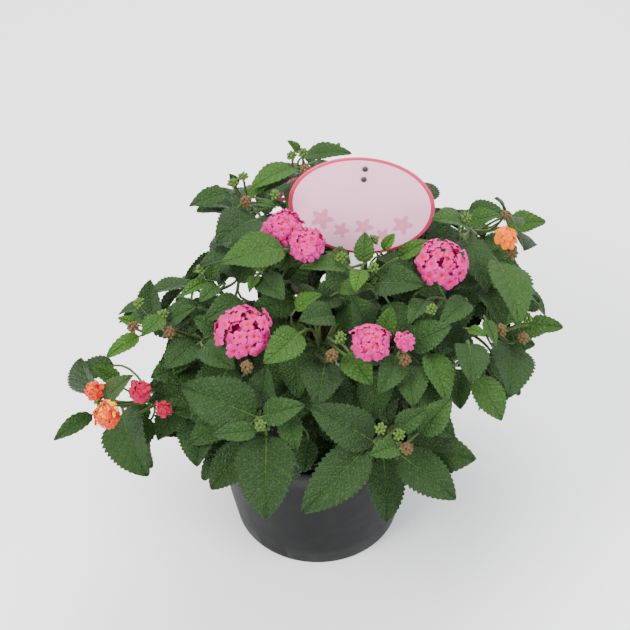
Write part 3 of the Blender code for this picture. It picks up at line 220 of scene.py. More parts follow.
SHOOTS = (
    Shoot("shoot_crest",
          (Leaf((-9, 111), (24, 113), 16, 0.94), Leaf((-16, 103), (-48, 87), 18),
           Leaf((-18, 100), (-38, 86), 13, 0.88), Leaf((-13, 94), (-20, 72), 13, 0.92),
           Leaf((-13, 114), (-21, 122), 8)),
          buds=((-10, 113), (-18, 111)), spent=((-8, 102),)),
    Shoot("shoot_northwest",
          (Leaf((-43, 67), (-71, 50), 31, 1.04), Leaf((-62, 85), (-90, 76), 15),
           Leaf((-57, 90), (-62, 99), 8), Leaf((-48, 83), (-36, 90), 10),
           Leaf((-43, 78), (-29, 75), 8, 0.94)),
          buds=((-59, 92), (-52, 96), (-30, 84)), spent=((-50, 80),)),
    Shoot("shoot_pink_pair",
          (Leaf((-24, 46), (-68, 36), 28), Leaf((-16, 48), (-31, 24), 20, 0.92),
           Leaf((-40, 26), (-24, 10), 20, 0.94), Leaf((-55, 23), (-40, 52), 20, 0.86),
           Leaf((-43, 27), (-48, 16), 8)),
          heads=(Head("head_pink_pair_left", (-24, 61), 30, 13, "pink", 1.05),
                 Head("head_pink_pair_right", (-7, 49), 27, 12, "pink", 1.09)),
          buds=((-40, 33),)),
    Shoot("shoot_west",
          (Leaf((-70, 20), (-83, 9), 12), Leaf((-78, 24), (-97, 12), 9),
           Leaf((-74, 24), (-72, 43), 14, 0.9)),
          buds=((-81, 32),)),
    Shoot("shoot_west_middle",
          (Leaf((-113, -6), (-117, 25), 23), Leaf((-109, -2), (-123, -15), 14, 1.03),
           Leaf((-105, -6), (-85, 6), 13), Leaf((-99, -8), (-88, -1), 9),
           Leaf((-128, -6), (-140, -2), 7), Leaf((-125, -15), (-148, -30), 12)),
          buds=((-108, 0), (-125, 8)), spent=((-104, -12), (-129, -8))),
    Shoot("shoot_far_west",
          (Leaf((-149, -58), (-166, -30), 35), Leaf((-136, -69), (-119, -113), 38),
           Leaf((-148, -61), (-126, -39), 19), Leaf((-158, -70), (-185, -88), 13),
           Leaf((-94, -63), (-112, -88), 23, 0.95)),
          heads=(Head("head_coral_oval", (-157, -53), 14, 6, "coral", 1.05),
                 Head("head_coral_yellow", (-148, -70), 21, 9, "coral", 1.06),
                 Head("head_crimson", (-125, -53), 16, 7, "crimson", 1.05),
                 Head("head_magenta", (-109, -66), 12, 5, "crimson", 1.04)),
          buds=((-153, -60),)),
    Shoot("shoot_left_centre",
          (Leaf((-83, -36), (-117, -44), 28, 0.97), Leaf((-85, -21), (-107, -38), 22),
           Leaf((-80, -22), (-58, -38), 19), Leaf((-89, -53), (-118, -61), 18, 0.93),
           Leaf((-65, -14), (-87, -2), 16, 0.94), Leaf((-53, 10), (-79, -4), 18, 0.9),
           Leaf((-38, 13), (-65, 0), 15, 0.86)),
          heads=(Head("head_pink_left", (-52, -11), 41, 14, "pink", 1.03),),
          spent=((-50, -36),)),
    Shoot("shoot_front_left",
          (Leaf((-36, -85), (-36, -143), 39, 1.05), Leaf((-44, -71), (-96, -50), 35, 1.03),
           Leaf((-38, -71), (-9, -63), 18, 1.04), Leaf((-43, -81), (-74, -84), 13, 1.05),
           Leaf((-50, -92), (-75, -122), 25, 0.96), Leaf((-74, -73), (-85, -106), 35, 0.94),
           Leaf((-40, -65), (-36, -36), 25, 0.95)),
          buds=((-40, -77),)),
    Shoot("shoot_centre",
          (Leaf((-13, -13), (-38, -34), 22), Leaf((5, -35), (-1, -64), 29, 0.97),
           Leaf((10, -1), (-13, -4), 21, 1.02), Leaf((15, 12), (-11, 2), 19, 0.9),
           Leaf((34, -10), (23, 13), 22, 0.95), Leaf((22, -26), (38, -49), 21),
           Leaf((-20, -36), (-41, -62), 24, 0.88)),
          heads=(Head("head_pink_centre", (37, -19), 29, 12, "pink", 1.04),),
          buds=((16, -16),), spent=((10, -28),)),
    Shoot("shoot_centre_right",
          (Leaf((65, -21), (94, -8), 22), Leaf((62, -36), (67, -64), 25, 0.96),
           Leaf((78, -27), (90, -61), 21, 0.95), Leaf((55, -30), (43, -55), 19, 0.98),
           Leaf((46, -13), (52, 6), 14, 0.92)),
          heads=(Head("head_pink_small", (60, -18), 14, 5, "pink", 1.04),),
          spent=((61, -31),)),
    Shoot("shoot_front_right",
          (Leaf((34, -93), (-11, -139), 31, 1.03), Leaf((58, -98), (97, -129), 28, 1.04),
           Leaf((68, -92), (111, -101), 35), Leaf((46, -99), (48, -145), 27, 0.98),
           Leaf((38, -88), (-6, -64), 28), Leaf((56, -79), (76, -66), 15, 1.04),
           Leaf((55, -91), (36, -98), 14, 1.06), Leaf((71, -82), (94, -58), 20, 0.95)),
          buds=((44, -80), (57, -84)), spent=((62, -93),)),
    Shoot("shoot_label_front",
          (Leaf((41, 22), (74, 21), 25), Leaf((32, 37), (33, 58), 14, 1.03),
           Leaf((30, 31), (26, 16), 13), Leaf((57, 40), (78, 52), 12, 0.92),
           Leaf((46, 46), (54, 57), 8), Leaf((20, 33), (-13, 33), 16, 0.97),
           Leaf((9, 44), (23, 36), 12, 0.93)),
          buds=((17, 40), (39, 33), (39, 52))),
    Shoot("shoot_pink_right",
          (Leaf((76, 10), (64, -6), 15), Leaf((104, 10), (85, -8), 17, 0.95)),
          heads=(Head("head_pink_right", (87, 36), 40, 14, "pink", 1.04),),
          buds=((80, 4),)),
    Shoot("shoot_northeast",
          (Leaf((134, 62), (160, 65), 19), Leaf((104, 62), (80, 67), 20, 0.94),
           Leaf((106, 64), (128, 70), 16), Leaf((104, 52), (118, 16), 24, 0.94),
           Leaf((131, 71), (124, 82), 9)),
          heads=(Head("head_orange", (132, 55), 18, 7, "orange", 1.06),),
          buds=((104, 68),), spent=((132, 70), (136, 44))),
    Shoot("shoot_east_upper",
          (Leaf((126, 37), (141, -7), 31), Leaf((118, 18), (130, -9), 20, 0.94)),
          buds=((143, 4),)),
    Shoot("shoot_east",
          (Leaf((133, -21), (134, -58), 32), Leaf((148, -7), (172, -9), 14),
           Leaf((118, -4), (125, -22), 9, 0.97), Leaf((106, -10), (118, -15), 8)),
          buds=((146, -2),), spent=((144, -16), (128, -10))),
    Shoot("shoot_east_low",
          (Leaf((111, -45), (129, -74), 22), Leaf((106, -21), (107, -48), 24, 0.97),
           Leaf((96, -38), (100, -66), 22, 0.88)),
          buds=((115, -34),)),
)

BACK_SHOOTS = (
    ("shoot_back_east", 20.0, 6.0),
    ("shoot_back_northeast", 50.0, 4.0),
    ("shoot_back_middle", 84.0, 2.0),
    ("shoot_back_northwest", 118.0, 2.0),
    ("shoot_back_west", 150.0, -35.0),
    ("shoot_back_top", 98.0, 34.0),
)
BACK_HEADS = (
    ("head_pink_back_right", "shoot_back_middle", 72.0, -9.0),
    ("head_pink_back_left", "shoot_back_middle", 99.0, -10.0),
)
BACK_HEAD_SIZE = 36.0
BACK_DEPTH = 0.78
BACK_LEAVES = 6
BACK_LEAF_WIDTH = 30.0
BACK_FLORETS = 12
INNER_LEAVES = 2
INNER_LEAF_WIDTH = 27.0
INNER_SHARE = 0.35
OUTLINE = (
    (0, 120), (30, 116), (60, 105), (84, 90), (132, 80), (162, 68), (158, 52), (140, 40),
    (148, 24), (166, 2), (170, -12), (154, -22), (154, -36), (144, -54), (132, -72), (112, -84),
    (110, -100), (94, -114), (0, -116), (-76, -118), (-122, -108), (-148, -96), (-182, -80),
    (-177, -45), (-152, -20), (-136, 16), (-92, 28), (-72, 50), (-92, 78), (-66, 98), (-24, 117),
)


def tree_of(bm: BMesh, grow: float = 0.0) -> BVHTree:
    """A search tree of a mesh, swollen by grow along its vertex normals.

    Args:
        bm: The mesh.
        grow: Distance in metres that the vertices move out along their normals.

    Returns:
        The search tree.
    """
    bm.normal_update()
    bm.verts.index_update()
    points = [v.co + v.normal * grow for v in bm.verts]
    faces = [[v.index for v in f.verts] for f in bm.faces]
    return BVHTree.FromPolygons(points, faces)


def on_mound(spot: tuple, depth: float, lift: float = 0.0) -> Vector:
    """The point of the mound, scaled by depth, that lies at a place (mm) of the front view.

    Args:
        spot: Place in the front view, mm.
        depth: Share of the mound radius, 1 on its surface.
        lift: Added distance towards the viewer, metres.

    Returns:
        The point in space.
    """
    near = 0.0
    rise = MOUND_RISE
    wide = MOUND_RADIUS
    for _ in range(6):
        shrink = 1.0 - near / VIEW_DISTANCE
        a = spot[0] * MM * shrink
        b = spot[1] * MM * shrink
        square = 0.5 / wide ** 2 + 0.5 / rise ** 2
        linear = b / rise ** 2 - b / wide ** 2
        rest = (a / wide) ** 2 + 0.5 * (b / wide) ** 2 + 0.5 * (b / rise) ** 2 - depth ** 2
        inside = max(0.0, linear ** 2 - 4.0 * square * rest)
        near = (-linear + math.sqrt(inside)) / (2.0 * square) + lift
    return in_view(spot, near)


def in_view(spot: tuple, near: float) -> Vector:
    """The point at a place (mm) of the front view, near metres towards the viewer."""
    shrink = (1.0 - near / VIEW_DISTANCE) * MM
    return MOUND_CENTRE + TOWARD * near + ACROSS * spot[0] * shrink + UPWARD * spot[1] * shrink


def nearness(point: Vector) -> float:
    """How far a point is towards the viewer from the mound's centre."""
    return (point - MOUND_CENTRE).dot(TOWARD)


def front_place(point: Vector) -> tuple:
    """Where the front view sees a point in space, mm."""
    shrink = (1.0 - nearness(point) / VIEW_DISTANCE) * MM
    return point.x / shrink, (point - MOUND_CENTRE).dot(UPWARD) / shrink


def in_outline(point: Vector) -> bool:
    """Whether a point in space lies inside the plant's outline in the front view.

    Args:
        point: Point in space.

    Returns:
        True inside the outline.
    """
    a, b = front_place(point)
    inside = False
    for (x, y), (u, v) in zip(OUTLINE, OUTLINE[1:] + OUTLINE[:1]):
        if (y > b) != (v > b) and a < x + (u - x) * (b - y) / (v - y):
            inside = not inside
    return inside


def outward(point: Vector) -> Vector:
    """The mound's outward direction at a point.

    Args:
        point: Point in space.

    Returns:
        Unit direction.
    """
    away = point - MOUND_CENTRE
    steep = (MOUND_RADIUS / MOUND_RISE) ** 2
    return Vector((away.x, away.y, away.z * steep)).normalized()


def bezier(points: list, t: float) -> Vector:
    """A point of a Bezier curve of any degree.

    Args:
        points: Control points.
        t: Place along it, 0 to 1.

    Returns:
        The point.
    """
    row = list(points)
    while len(row) > 1:
        row = [a.lerp(b, t) for a, b in zip(row, row[1:])]
    return row[0]


def circle(radius: float, height: float, sides: int) -> list:
    """Points of a level circle round Z."""
    turns = [math.tau * k / sides for k in range(sides)]
    return [Vector((radius * math.cos(a), radius * math.sin(a), height)) for a in turns]


def spokes(side: Vector, other: Vector, count: int) -> list:
    """Directions spread evenly round a circle, from its two axes."""
    turns = [math.tau * k / count for k in range(count)]
    return [side * math.cos(a) + other * math.sin(a) for a in turns]


def rings_along(path: list, radii: list, sides: int) -> list:
    """Rings of points round a path, with a radius at each of its points.

    Args:
        path: Points of the path.
        radii: Radius at each point, metres.
        sides: Points in a ring.

    Returns:
        The rings from end to end.
    """
    rings = []
    side = None
    for i, point in enumerate(path):
        ahead = (path[min(i + 1, len(path) - 1)] - path[max(i - 1, 0)]).normalized()
        if side is None:
            side = ahead.orthogonal().normalized()
        side = (side - ahead * side.dot(ahead)).normalized()
        ring = spokes(side, ahead.cross(side), sides)
        rings.append([point + spoke * radii[i] for spoke in ring])
    return rings


def tube_faces(rings: list) -> list:
    """The faces of a closed tube: quads between its rings and a cap on each end.

    Args:
        rings: Rings of corners from end to end.

    Returns:
        Tuples of corners.
    """
    faces = []
    sides = len(rings[0])
    for low, high in zip(rings, rings[1:]):
        for k in range(sides):
            j = (k + 1) % sides
            faces.append((low[k], low[j], high[j], high[k]))
    return faces + [tuple(reversed(rings[0])), tuple(rings[-1])]


def tube(bm: BMesh, path: list, radii: list, sides: int) -> None:
    """Add a closed tube along a path.

    Args:
        bm: The mesh that the tube is added to.
        path: Points of the path.
        radii: Radius at each point, metres.
        sides: Number of sides.
    """
    rings = rings_along(path, radii, sides)
    for face in tube_faces([[bm.verts.new(point) for point in ring] for ring in rings]):
        bm.faces.new(face)


def mesh_of(bm: BMesh, name: str) -> Mesh:
    """Turn a bmesh into a mesh, and free it.

    Args:
        bm: The bmesh.
        name: Name of the mesh.

    Returns:
        The mesh.
    """
    mesh = bpy.data.meshes.new(name)
    bm.to_mesh(mesh)
    bm.free()
    return mesh


def corners(bm: BMesh, grow: float = 0.0) -> tuple:
    """Lower and upper corner of a mesh's box, grown on every side."""
    axes = list(zip(*(v.co for v in bm.verts)))
    return Vector([min(axis) - grow for axis in axes]), Vector([max(axis) + grow for axis in axes])


def half_width(t: float) -> float:
    """Half the width of an egg-shaped blade, as a share of the full width."""
    return 0.5 * math.sin(math.pi * t ** 0.68) ** 0.75


def margin_points(teeth: int) -> list:
    """Places (t, share) along one toothed edge, from the blade's base to the last tooth.

    Args:
        teeth: Number of teeth on one edge.

    Returns:
        The places.
    """
    points = [(0.0, 0.0)]
    for k in range(teeth):
        peak = (k + 0.66) / teeth
        points.append((peak, half_width(peak) * 1.06))
        if k < teeth - 1:
            notch = (k + 1.0) / teeth
            points.append((notch, half_width(notch) * 0.90))
    return points


@dataclass
class Placed:
    """A leaf in space: where its stalk starts, its blade and how the blade faces."""
    root: Vector
    base: Vector
    tip: Vector
    normal: Vector
    width: float
    teeth: int

    def blade_frame(self, t: float) -> tuple:
        """Point, side and face directions of the midrib at t.

        Args:
            t: Place along it, 0 to 1.

        Returns:
            The point and both directions.
        """
        span = self.tip - self.base
        face = (self.normal - span * self.normal.dot(span) / span.length_squared).normalized()
        crest = self.base.lerp(self.tip, 0.5) + face * span.length * 0.16
        point = bezier((self.base, crest, self.tip), t)
        along = (crest - self.base).lerp(self.tip - crest, t).normalized()
        side = along.cross(face).normalized()
        return point, side, side.cross(along).normalized()

    def shows_inside(self) -> bool:
        """Whether the blade lies inside the plant's outline in the front view.

        Returns:
            True inside the outline.
        """
        point, side, _ = self.blade_frame(0.45)
        reach = side * 0.45 * self.width
        return all(in_outline(spot) for spot in (self.tip, point - reach, point + reach))


@dataclass(frozen=True)
class HeadSpot:
    """A flower head in space."""
    name: str
    centre: Vector
    direction: Vector
    size: float
    florets: int
    colour: str


def leaf_mesh(placed: Placed, stalk: bool = True) -> BMesh:
    """One closed leaf: a stalk that widens into a folded, arched blade with a toothed edge.

    Args:
        placed: The leaf in space.
        stalk: Whether the leaf has its stalk.

    Returns:
        The closed leaf.
    """
    bm = bmesh.new()
    margin = margin_points(placed.teeth)
    half = 0.5 * BLADE

    def pair(point: Vector, face: Vector) -> tuple:
        """The upper and lower vertex at a point of the blade."""
        return bm.verts.new(point + face * half), bm.verts.new(point - face * half)

    midrib = []
    for k in range(BLADE_SPANS + 1):
        t = k / BLADE_SPANS
        point, side, face = placed.blade_frame(t)
        midrib.append((t, pair(point, face)))
    edges = []
    for sign in (-1.0, 1.0):
        edge = []
        for t, share in margin:
            point, side, face = placed.blade_frame(t)
            reach = max(share * placed.width, PETIOLE)
            slope = side * sign * math.cos(FOLD) + face * math.sin(FOLD)
            edge.append((t, pair(point + slope * reach, face)))
        edge.append(midrib[-1])
        edges.append(edge)
    for sign, edge in zip((-1.0, 1.0), edges):
        flip = sign > 0.0
        i = 0
        j = 0
        while i < len(midrib) - 1 or j < len(edge) - 1:
            step_edge = i == len(midrib) - 1 or (
                j < len(edge) - 1 and edge[j + 1][0] <= midrib[i + 1][0])
            if step_edge:
                trio = (midrib[i][1], edge[j][1], edge[j + 1][1])
                j += 1
            else:
                trio = (midrib[i][1], edge[j][1], midrib[i + 1][1])
                i += 1
            if trio[1] is trio[2] or trio[0] is trio[2]:
                continue
            top = [p[0] for p in trio]
            low = [p[1] for p in trio]
            bm.faces.new(top if flip else reversed(top))
            bm.faces.new(reversed(low) if flip else low)
        for (_, a), (_, b) in zip(edge, edge[1:]):
            wall = (a[0], a[1], b[1], b[0])
            bm.faces.new(wall if flip else reversed(wall))
    left, middle, right = edges[0][0][1], midrib[0][1], edges[1][0][1]
    start = (left[0], middle[0], right[0], right[1], middle[1], left[1])
    if not stalk:
        bm.faces.new(start)
        bm.normal_update()
        return bm
    point, side, face = placed.blade_frame(0.0)
    ahead = (placed.base - placed.root).normalized()
    side = (side - ahead * side.dot(ahead)).normalized()
    up = side.cross(ahead).normalized()
    foot = []
    for across, lift in ((-1.0, 0.6), (1.0, 0.6), (0.0, -1.1)):
        foot.append(bm.verts.new(placed.root + side * across * PETIOLE + up * lift * PETIOLE))
    bm.faces.new(foot)
    bm.faces.new((foot[1], foot[0], left[0], middle[0], right[0]))
    bm.faces.new((foot[2], right[1], middle[1], left[1]))
    bm.faces.new((foot[2], foot[1], right[0], right[1]))
    bm.faces.new((foot[0], foot[2], left[1], left[0]))
    bmesh.ops.recalc_face_normals(bm, faces=bm.faces)
    return bm


def head_frame(centre: Vector) -> Vector:
    """The way a flower head or bud cluster faces at a point of the mound."""
    return (outward(centre) * 0.5 + TOWARD * 0.35 + Vector((0.0, 0.0, 0.35))).normalized()


def turn_to(direction: Vector, centre: Vector) -> Matrix:
    """A matrix that carries +Z to a direction and the origin to a centre."""
    return Matrix.Translation(centre) @ direction.to_track_quat("Z", "Y").to_matrix().to_4x4()


def floret_ways(florets: int) -> Iterator:
    """Polar and turning angles of a head's florets: one on top and rings round it.

    Args:
        florets: Number of florets.

    Returns:
        The pairs of angles, one at a time.
    """
    outer = round(0.57 * florets) if florets > 8 else florets - 1
    middle = florets - 1 - outer
    yield 0.0, 0.0
    for k in range(middle):
        yield math.radians(37.0), math.tau * k / middle
    for k in range(outer):
        yield math.radians(76.0 if middle else 58.0), math.tau * (k + 0.5) / outer


def head_mesh(spot: HeadSpot) -> BMesh:
    """A flower head in one closed body: a small dome whose florets flare to lobed mouths.

    Args:
        spot: The head in space.

    Returns:
        The closed head.
    """
    bm = bmesh.new()
    size = spot.size
    radius = 0.5 * size
    squash = Vector((1.0, 1.0, HEAD_SQUASH))
    ways = []
    for polar, turn in floret_ways(spot.florets):
        ways.append(Vector((math.sin(polar) * math.cos(turn), math.sin(polar) * math.sin(turn),
                            math.cos(polar))))
    mouths = [way * squash * radius * 0.93 for way in ways]
    spacing = min((a - b).length for i, a in enumerate(mouths) for b in mouths[:i])
    reach = FLORET_REACH * spacing
    drop = Vector((0.0, 0.0, -0.13 * size))
    necks = []
    for way in ways:
        quat = way.to_track_quat("Z", "Y")
        neck = []
        for k in range(FLORET_LOBES):
            angle = math.tau * k / FLORET_LOBES
            tilt = Vector((math.cos(angle), math.sin(angle), 0.0)) * math.sin(NECK_SPREAD)
            on_ball = quat @ (tilt + Vector((0.0, 0.0, math.cos(NECK_SPREAD))))
            neck.append(bm.verts.new(on_ball * squash * radius * CORE_SHARE + drop))
        necks.append(neck)
    for k in range(5):
        angle = 0.4 * math.pi * k
        bm.verts.new(Vector((0.45 * math.cos(angle), 0.45 * math.sin(angle), 0.0)) * 0.3 * size
                     + Vector((0.0, 0.0, -HEAD_FLOOR * size)))
    bmesh.ops.convex_hull(bm, input=bm.verts, use_existing_faces=False)
    for neck in necks:
        inside = [f for f in bm.faces if all(v in neck for v in f.verts)]
        bmesh.ops.delete(bm, geom=inside, context="FACES_ONLY")
    for edge in [e for e in bm.edges if not e.link_faces]:
        bm.edges.remove(edge)
    for way, mouth, neck in zip(ways, mouths, necks):
        facing = Vector((way.x, way.y, way.z / HEAD_SQUASH)).normalized()
        side = (neck[0].co - neck[2].co).normalized()
        side = (side - facing * side.dot(facing)).normalized()
        other = facing.cross(side)
        ring = []
        for k in range(2 * FLORET_LOBES):
            angle = math.pi * k / FLORET_LOBES
            share, lift = (1.0, 0.05) if k % 2 == 0 else (0.70, -0.06)
            ring.append(bm.verts.new(mouth + (side * math.cos(angle) + other * math.sin(angle))
                                     * reach * share + facing * lift * reach))
        throat = bm.verts.new(mouth - facing * 0.22 * reach)
        for k in range(FLORET_LOBES):
            low = neck[k]
            after = neck[(k + 1) % FLORET_LOBES]
            tip, notch, following = ring[2 * k], ring[2 * k + 1], ring[(2 * k + 2) % len(ring)]
            bm.faces.new((low, tip, notch))
            bm.faces.new((low, notch, after))
            bm.faces.new((after, notch, following))
            bm.faces.new((tip, throat, notch))
            bm.faces.new((notch, throat, following))
    bmesh.ops.recalc_face_normals(bm, faces=bm.faces)
    bm.transform(turn_to(spot.direction, spot.centre))
    return bm


def bud_mesh(path: list, radius: float, size: float) -> BMesh:
    """A stalk that ends in a cluster of pointed buds, in one closed body.

    Args:
        path: Points of the path.
        radius: Radius of the stalk, metres.
        size: Diameter of the cluster, metres.

    Returns:
        The closed cluster with its stalk.
    """
    bm = bmesh.new()
    ahead = (path[-1] - path[-2]).normalized()
    end = path[-1]
    route = list(path[:-1]) + [end - ahead * 0.45 * size, end, end + ahead * 0.42 * size]
    tube(bm, route, [radius * 1.2] + [radius] * (len(path) - 2)
         + [radius, 0.46 * size, 0.26 * size], 5)
    bm.faces.ensure_lookup_table()
    crown = [f for f in bm.faces if (f.calc_center_median() - end).dot(ahead) > 0.0]
    poked = bmesh.ops.poke(bm, faces=crown)
    for vert in poked["verts"]:
        vert.co += (vert.co - end).normalized() * 0.36 * size
    bm.normal_update()
    return bm


def sound_skin(bm: BMesh) -> bool:
    """Whether a bmesh is closed and nowhere crosses itself. Its faces are split to triangles.

    Args:
        bm: The mesh.

    Returns:
        True for a sound skin.
    """
    bmesh.ops.triangulate(bm, faces=bm.faces)
    bm.verts.index_update()
    bm.faces.index_update()
    bm.faces.ensure_lookup_table()
    fine = all(edge.is_manifold for edge in bm.edges)
    tree = BVHTree.FromBMesh(bm)
    for a, b in tree.overlap(tree):
        if a < b and not set(bm.faces[a].verts) & set(bm.faces[b].verts):
            return False
    return fine


class Garden:
    """Everything that grows, with a search tree for each piece so that no two nodes cross."""

    def __init__(self) -> None:
        """Start with no solids."""
        self.obstacles: list[tuple] = []
        self.leaves: dict[str, list] = defaultdict(list)
        self.paths: dict[str, list] = defaultdict(list)
        self.stalks: dict[str, list] = defaultdict(list)
        self.clusters: dict[str, list] = defaultdict(list)
        self.heads: list[HeadSpot] = []
        self.limits: tuple | None = None

    def hits(self, node: str, bm: BMesh, own: bool = False) -> bool:
        """Whether a mesh comes too near to another node or, with own set, to any node.

        Args:
            node: Node that the mesh is for.
            bm: The mesh.
            own: Whether the node's own solids count too.

        Returns:
            True when it comes too near.
        """
        low, high = corners(bm, CLEARANCE)
        grown = tree_of(bm, CLEARANCE)
        for other, floor, ceiling, tree in self.obstacles:
            if other == node and not own:
                continue
            if any(low[i] > ceiling[i] or high[i] < floor[i] for i in range(3)):
                continue
            if grown.overlap(tree):
                return True
        return False

    def add(self, node: str, bm: BMesh) -> None:
        """Remember a solid of a node as something to keep clear of."""
        self.obstacles.append((node, *corners(bm), tree_of(bm)))

    def add_head(self, spot: HeadSpot) -> bool:
        """Keep a flower head unless it crosses something.

        Args:
            spot: The head in space.

        Returns:
            Whether the head fits.
        """
        bm = head_mesh(spot)
        if self.hits(spot.name, bm):
            return False
        self.add(spot.name, bm)
        self.heads.append(spot)
        return True

    def covers(self, placed: Placed) -> bool:
        """Whether a blade would hide the label, a flower head or an open spot in the front view.

        Args:
            placed: The leaf in space.

        Returns:
            True when something would be hidden.
        """
        spots = []
        for t in (0.1, 0.4, 0.7, 1.0):
            point, side, _ = placed.blade_frame(t)
            reach = side * half_width(min(t, 0.99)) * placed.width
            spots += [point, point - reach, point + reach]
        seen = []
        for head in self.heads:
            seen.append((head.centre, 0.6 * head.size, 0.6 * head.size))
        centre = in_view(LABEL_CENTRE, LABEL_NEAR)
        seen.append((centre, 0.5 * LABEL_WIDTH, 0.5 * LABEL_HEIGHT * LABEL_SHORTER))
        for spot in spots:
            a, b = front_place(spot)
            if any(math.hypot(a - x, b - y) < wide for x, y, wide in OPEN_SPOTS):
                return True
            for middle, wide, high in seen:
                shrink = (VIEW_DISTANCE - nearness(middle)) / (VIEW_DISTANCE - nearness(spot))
                a = (spot.x * shrink - middle.x) / wide
                b = (spot - MOUND_CENTRE).dot(UPWARD) * shrink - (middle - MOUND_CENTRE).dot(UPWARD)
                if a * a + (b / high) ** 2 < 1.0 and nearness(spot) > nearness(middle) - 32.0 * MM:
                    return True
        return False


class Skeleton:
    """The stem and twigs of one shoot, which stalks join at the nearest point."""

    def __init__(self, garden: Garden, node: str, foot: Vector, hub: Vector) -> None:
        """Grow the main stem from its foot to its hub.

        Args:
            garden: The plant so far.
            node: Name of its node.
            foot: Where the stem leaves the soil.
            hub: Where the main stem ends.
        """
        self.garden = garden
        self.node = node
        self.points = []
        self.used = []
        ground = Vector((foot.x, foot.y, SOIL_TOP + SOIL_CLEAR))
        bottom = Vector((foot.x, foot.y, STEM_FOOT))
        lift = (hub - ground).length
        radii = [STEM_RADIUS, STEM_RADIUS, STEM_RADIUS * 0.94, STEM_RADIUS * 0.86,
                 STEM_RADIUS * 0.78, STEM_RADIUS * 0.7]
        for bow, swing, short in ((0.45, 0.0, 1.0), (0.3, 0.0, 1.0), (0.6, 0.0, 1.0),
                                  (0.4, 0.25, 1.0), (0.4, -0.25, 1.0), (0.55, 0.4, 1.0),
                                  (0.55, -0.4, 1.0), (0.2, 0.3, 1.0), (0.2, -0.3, 1.0),
                                  (0.45, 0.0, 0.85), (0.6, 0.3, 0.85), (0.6, -0.3, 0.85),
                                  (0.45, 0.0, 0.7), (0.6, 0.3, 0.7), (0.6, -0.3, 0.7)):
            sideways = Vector((-ground.y, ground.x, 0.0)).normalized() * swing * lift
            control = ground + Vector((0.0, 0.0, bow * lift)) + sideways
            top = ground.lerp(hub, short)
            curve = [bezier((ground, control, top), k / 4.0) for k in range(5)]
            if self.add([bottom] + curve, radii, 5):
                break
        else:
            raise RuntimeError(f"no clear way for the stem of {node}")
        self.points = self.points[len(self.points) // 3:]

    def add(self, path: list, radii: list, sides: int) -> bool:
        """Add a clear tube and make its points places to join.

        Args:
            path: Points of the path.
            radii: Radius at each point, metres.
            sides: Number of sides.

        Returns:
            Whether the tube is clear.
        """
        bm = bmesh.new()
        tube(bm, path, radii, sides)
        if not sound_skin(bm) or self.garden.hits(self.node, bm):
            return False
        self.garden.add(self.node, bm)
        self.garden.paths[self.node].append((path, radii))
        for low, high in zip(path, path[1:]):
            for k in range(1, 5):
                self.points.append(low.lerp(high, k / 4.0))
        return True

    def along(self, hub: Vector, share: float) -> Vector:
        """The point of the stems nearest to a place between the foot and a hub."""
        place = self.points[0].lerp(hub, share)
        return min(self.points, key=lambda point: (point - place).length)

    def nearest(self, target: Vector, along: Vector = Vector((0.0, 0.0, 0.0))) -> Vector:
        """The point to join for something at target, lower than it and behind its direction.

        Args:
            target: Point to reach.
            along: Direction the new part leaves in.

        Returns:
            The joining point.
        """
        def cost(point: Vector) -> float:
            """Distance, with points above the target or already joined counted as further off.

            Args:
                point: Point in space.

            Returns:
                The lower the better.
            """
            crowd = sum(max(0.0, JOIN_SPACING - (point - spot).length) for spot in self.used)
            ahead = max(0.0, (point - target).dot(along) + 4.0 * MM)
            above = max(0.0, point.z - target.z + 4.0 * MM)
            return (point - target).length + above + 1.5 * ahead + 3.0 * crowd
        return min(self.points, key=cost)

    def reach(self, target: Vector, close: float) -> None:
        """Grow a twig until a joining point lies within close of the target.

        Args:
            target: Point to reach.
            close: Distance that counts as reached, metres.
        """
        start = self.nearest(target)
        gap = (target - start).length
        if gap <= close:
            return
        end = target.lerp(start, close * 0.8 / gap)
        side = (end - start).cross(Vector((0.0, 0.0, 1.0))).normalized()
        for rise, swing in ((0.12, 0.0), (0.25, 0.0), (0.0, 0.0), (0.1, 0.2), (0.1, -0.2),
                            (-0.1, 0.3), (-0.1, -0.3)):
            bend = start.lerp(end, 0.5) + Vector((0.0, 0.0, rise * gap)) + side * swing * gap
            path = [bezier((start, bend, end), k / 2.0) for k in range(3)]
            if self.add(path, [TWIG_RADIUS * 1.1, TWIG_RADIUS, TWIG_RADIUS * 0.9], 3):
                return

    def stalk(self, end: Vector, direction: Vector, cluster: float = 0.0) -> bool:
        """A clear stalk that bends into a direction at its end, bare or with a bud cluster.

        Args:
            end: End of the stalk.
            direction: The way it faces.
            cluster: Diameter of the bud cluster at its end, 0 for none.

        Returns:
            Whether a clear stalk was found.
        """
        start = self.nearest(end - direction * STALK_LENGTH)
        reach = (end - start).length
        side = direction.orthogonal().normalized()
        for bow, swing in ((0.5, 0.0), (0.35, 0.0), (0.5, 0.2), (0.5, -0.2), (0.3, 0.3),
                           (0.3, -0.3), (0.7, 0.0)):
            bend = end - direction * bow * reach + side * swing * reach
            path = [bezier((start, bend, end), k / 2.0) for k in range(3)]
            if cluster:
                bm = bud_mesh(path, STALK_RADIUS, cluster)
            else:
                bm = bmesh.new()
                tube(bm, path, [STALK_RADIUS * 1.2, STALK_RADIUS, STALK_RADIUS], 3)
            if sound_skin(bm) and not self.garden.hits(self.node, bm):
                self.garden.add(self.node, bm)
                if cluster:
                    self.garden.clusters[self.node].append((path, cluster))
                else:
                    self.garden.stalks[self.node].append(path)
                self.used.append(start)
                return True
        return False

